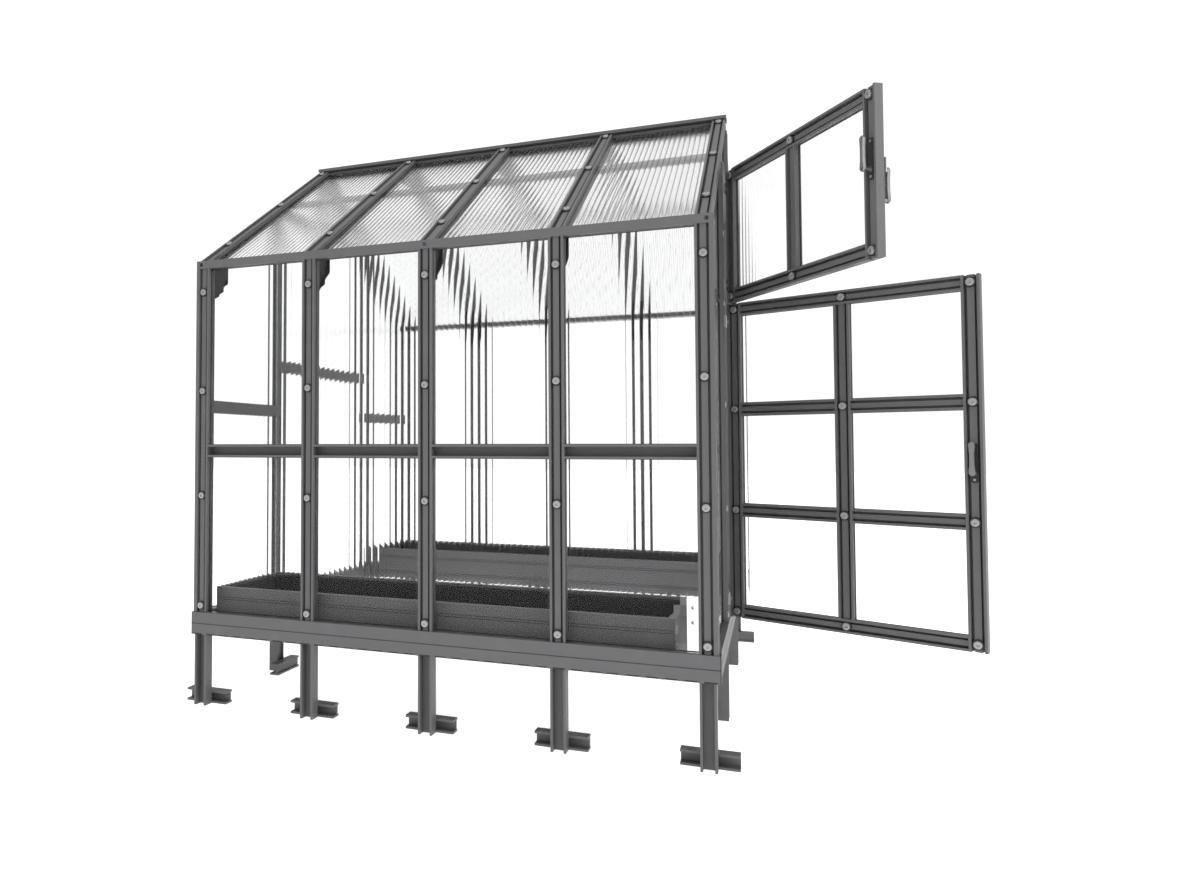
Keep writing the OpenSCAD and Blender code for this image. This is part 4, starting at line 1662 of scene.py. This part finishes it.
class FrameWork:
    """Carried-over nodes of the frame and the finish of each."""

    finishes = {
        Finish.FRAME: (
            "front_posts rear_posts left_end_studs door_jambs front_legs rear_legs side_legs ground_feet "
            "front_mid_rails rear_mid_rails left_end_rails gable_frames front_eave_beam rear_eave_beam "
            "ridge_cap front_rafters rear_rafters front_purlins rear_purlins ridge_gussets "
            "lower_door_stiles lower_door_rails upper_door_stiles upper_door_rails"
        ),
        Finish.BASE: "front_base_board rear_base_board end_base_boards",
        Finish.BED: "front_bed_boards rear_bed_boards",
        Finish.HARDWARE: (
            "jamb_hinge_leaves hinge_pins lower_hinge_leaves upper_hinge_leaves "
            "lower_latch_spindle upper_latch_spindle"
        ),
    }

    def dress(self) -> None:
        """Gives every carried-over node its material."""
        for finish, names in self.finishes.items():
            for name in names.split():
                for slot in frame["nodes"][name].material_slots:
                    slot.material = finish.material
                log.info("%s: %s", name, finish.slot)


# ---------------------------------------------------------------- studio


@dataclass
class Studio:
    """Pale floor, white surroundings, soft lights and the camera."""

    eye: Colour = (1.0176, -3.4582, 0.6522)
    yaw: float = 22.07
    pitch: float = 2.09
    lens: float = 26.58
    shift: tuple[float, float] = (0.144, -0.0235)
    floor_size: float = 60
    floor_glow: float = 0.8
    world: float = 0.66
    backdrop_radius: float = 45
    backdrop_glow: float = 1.1
    far: float = 200
    floor_tones: tuple[Colour, Colour] = ((0.90, 0.90, 0.90), (0.94, 0.94, 0.94))
    floor_cells: float = 0.6
    floor_roughness: float = 0.9
    aim: Colour = (0, 0, 0.8)
    lamps: tuple[tuple[str, Colour, float, float], ...] = (
        ("key_light", (6.0, -3.8, 3.6), 3.0, 140),
        ("top_light", (-0.5, -1.0, 6.0), 5.0, 90),
    )

    def build(self) -> None:
        """Makes everything that isn't the object."""
        self._camera()
        self._floor()
        self._backdrop()
        self._world()
        for name, at, size, power in self.lamps:
            self._light(name, at, size, power)
        bpy.context.scene.view_settings.view_transform = "Standard"

    def _camera(self) -> None:
        """The camera."""
        data = bpy.data.cameras.new("camera")
        data.lens = self.lens
        data.shift_x, data.shift_y = self.shift
        data.clip_end = self.far
        camera = bpy.data.objects.new("camera", data)
        camera.location = self.eye
        yaw, pitch = math.radians(self.yaw), math.radians(self.pitch)
        ahead = Vector((-math.sin(yaw) * math.cos(pitch), math.cos(yaw) * math.cos(pitch), math.sin(pitch)))
        camera.rotation_mode = "QUATERNION"
        camera.rotation_quaternion = ahead.to_track_quat("-Z", "Y")
        bpy.context.scene.collection.objects.link(camera)
        bpy.context.scene.camera = camera

    def _floor(self) -> None:
        """A pale floor under the feet."""
        z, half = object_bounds()[0].z, self.floor_size / 2
        data = bpy.data.meshes.new("floor")
        corners = [(-half, -half, z), (half, -half, z), (half, half, z), (-half, half, z)]
        data.from_pydata(corners, [], [(0, 1, 2, 3)])
        pattern = Pattern("floor_finish")
        cloud = pattern.noise(self.floor_cells, 3)
        data.materials.append(
            pattern.close(
                Base_Color=pattern.tint(cloud, *self.floor_tones),
                Roughness=self.floor_roughness,
                Emission_Color=(1, 1, 1, 1),
                Emission_Strength=self.floor_glow,
            )
        )
        floor = bpy.data.objects.new("floor", data)
        bpy.context.scene.collection.objects.link(floor)
        floor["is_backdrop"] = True

    def _backdrop(self) -> None:
        """A white dome that is seen, directly or through the sheets, but gives no light."""
        shape = bmesh.new()
        bmesh.ops.create_uvsphere(shape, u_segments=48, v_segments=24, radius=self.backdrop_radius)
        bmesh.ops.reverse_faces(shape, faces=shape.faces)
        data = bpy.data.meshes.new("backdrop")
        shape.to_mesh(data)
        shape.free()
        pattern = Pattern("backdrop_finish")
        data.materials.append(
            pattern.close(
                Base_Color=(0, 0, 0, 1), Roughness=1.0, Emission_Color=(1, 1, 1, 1),
                Emission_Strength=self.backdrop_glow,
            )
        )
        dome = bpy.data.objects.new("backdrop", data)
        dome.visible_diffuse = dome.visible_glossy = dome.visible_shadow = False
        bpy.context.scene.collection.objects.link(dome)
        dome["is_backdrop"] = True

    def _world(self) -> None:
        """Soft light from all around."""
        world = bpy.data.worlds.new("studio")
        world.use_nodes = True
        world.node_tree.nodes["Background"].inputs["Color"].default_value = (1, 1, 1, 1)
        world.node_tree.nodes["Background"].inputs["Strength"].default_value = self.world
        bpy.context.scene.world = world

    def _light(self, name: str, at: Colour, size: float, power: float) -> None:
        """A soft square light aimed at the middle of the house.

        Args:
            name: its name.
            at: where it hangs.
            size: its side in metres.
            power: its power in watts.
        """
        data = bpy.data.lights.new(name, "AREA")
        data.shape, data.size, data.energy = "SQUARE", size, power
        light = bpy.data.objects.new(name, data)
        light.location = at
        light.rotation_mode = "QUATERNION"
        light.rotation_quaternion = (Vector(self.aim) - Vector(at)).to_track_quat("-Z", "Y")
        bpy.context.scene.collection.objects.link(light)


def main() -> None:
    """Builds the looks of the greenhouse, one sub-assembly after another."""
    logging.basicConfig(level=logging.INFO, format="%(name)s %(message)s", stream=sys.stdout)
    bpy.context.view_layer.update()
    places = Places()
    Studio().build()
    FrameWork().dress()
    sheets, beads, heads = fluted_sheet_tree(), bead_tree(), fastener_tree()
    wall, roof = Finish.WALL, Finish.ROOF
    for glazing in (
        Glazing("front_panes", [places.front], wall),
        Glazing("rear_panes", [places.rear], wall),
        Glazing("left_end_panes", [places.left], wall),
        Glazing("right_side_panes", [places.right], wall),
        Glazing("gable_panes", [places.left, places.right], wall),
        Glazing("front_roof_panes", [places.front_slope], roof, trim=4 * MM, relief=0.6 * MM),
        Glazing("rear_roof_panes", [places.rear_slope], roof, trim=4 * MM, relief=0.6 * MM),
        Glazing("lower_door_panes", [places.lower_door], wall),
        Glazing("upper_door_panes", [places.upper_door], wall),
    ):
        glazing.build(sheets, beads, places)
    # The black washer is painted shade: it stands in for the shadow ring around each bolt head.
    head, ring = BoltHead().mesh(), washer()
    for bolts in (
        Fasteners("wall_bolts", places.walls),
        Fasteners("roof_bolts", places.slopes),
        Fasteners("lower_door_bolts", [places.lower_door]),
        Fasteners("upper_door_bolts", [places.upper_door]),
    ):
        bolts.build(heads, head, ring, places)
    screw = BoltHead(
        radius=3.4 * MM, height=1.6 * MM, rim=0.7 * MM,
        socket=1.3 * MM, socket_depth=0.7 * MM, undercut=0.2 * MM,
    ).mesh()
    HingeScrews().build(places.right, heads, screw)
    Handles("lower").build(places.lower_door, heads, screw)
    Handles("upper").build(places.upper_door, heads, screw)
    for spare in (head, ring, screw):
        bpy.data.objects.remove(spare)
    for bars in (
        EasedBars("ridge_beam", Finish.FRAME),
        EasedBars("bed_bearers", Finish.FRAME, 2 * MM),
        EasedBars("pane_joiners", Finish.JOINER, 1 * MM),
        EasedBars("base_corner_caps", Finish.BLACK, 0.8 * MM),
    ):
        bars.build()
    RidgeGaskets().build()
    # Black plugs in the board slots: painted shade for the dark inside of each slot.
    BoardPlugs().build(heads)
    BedSeams().build()
    BedBrackets().build()
    KneeBrackets().build()
    Liners().build()


if __name__ == "__main__":
    main()
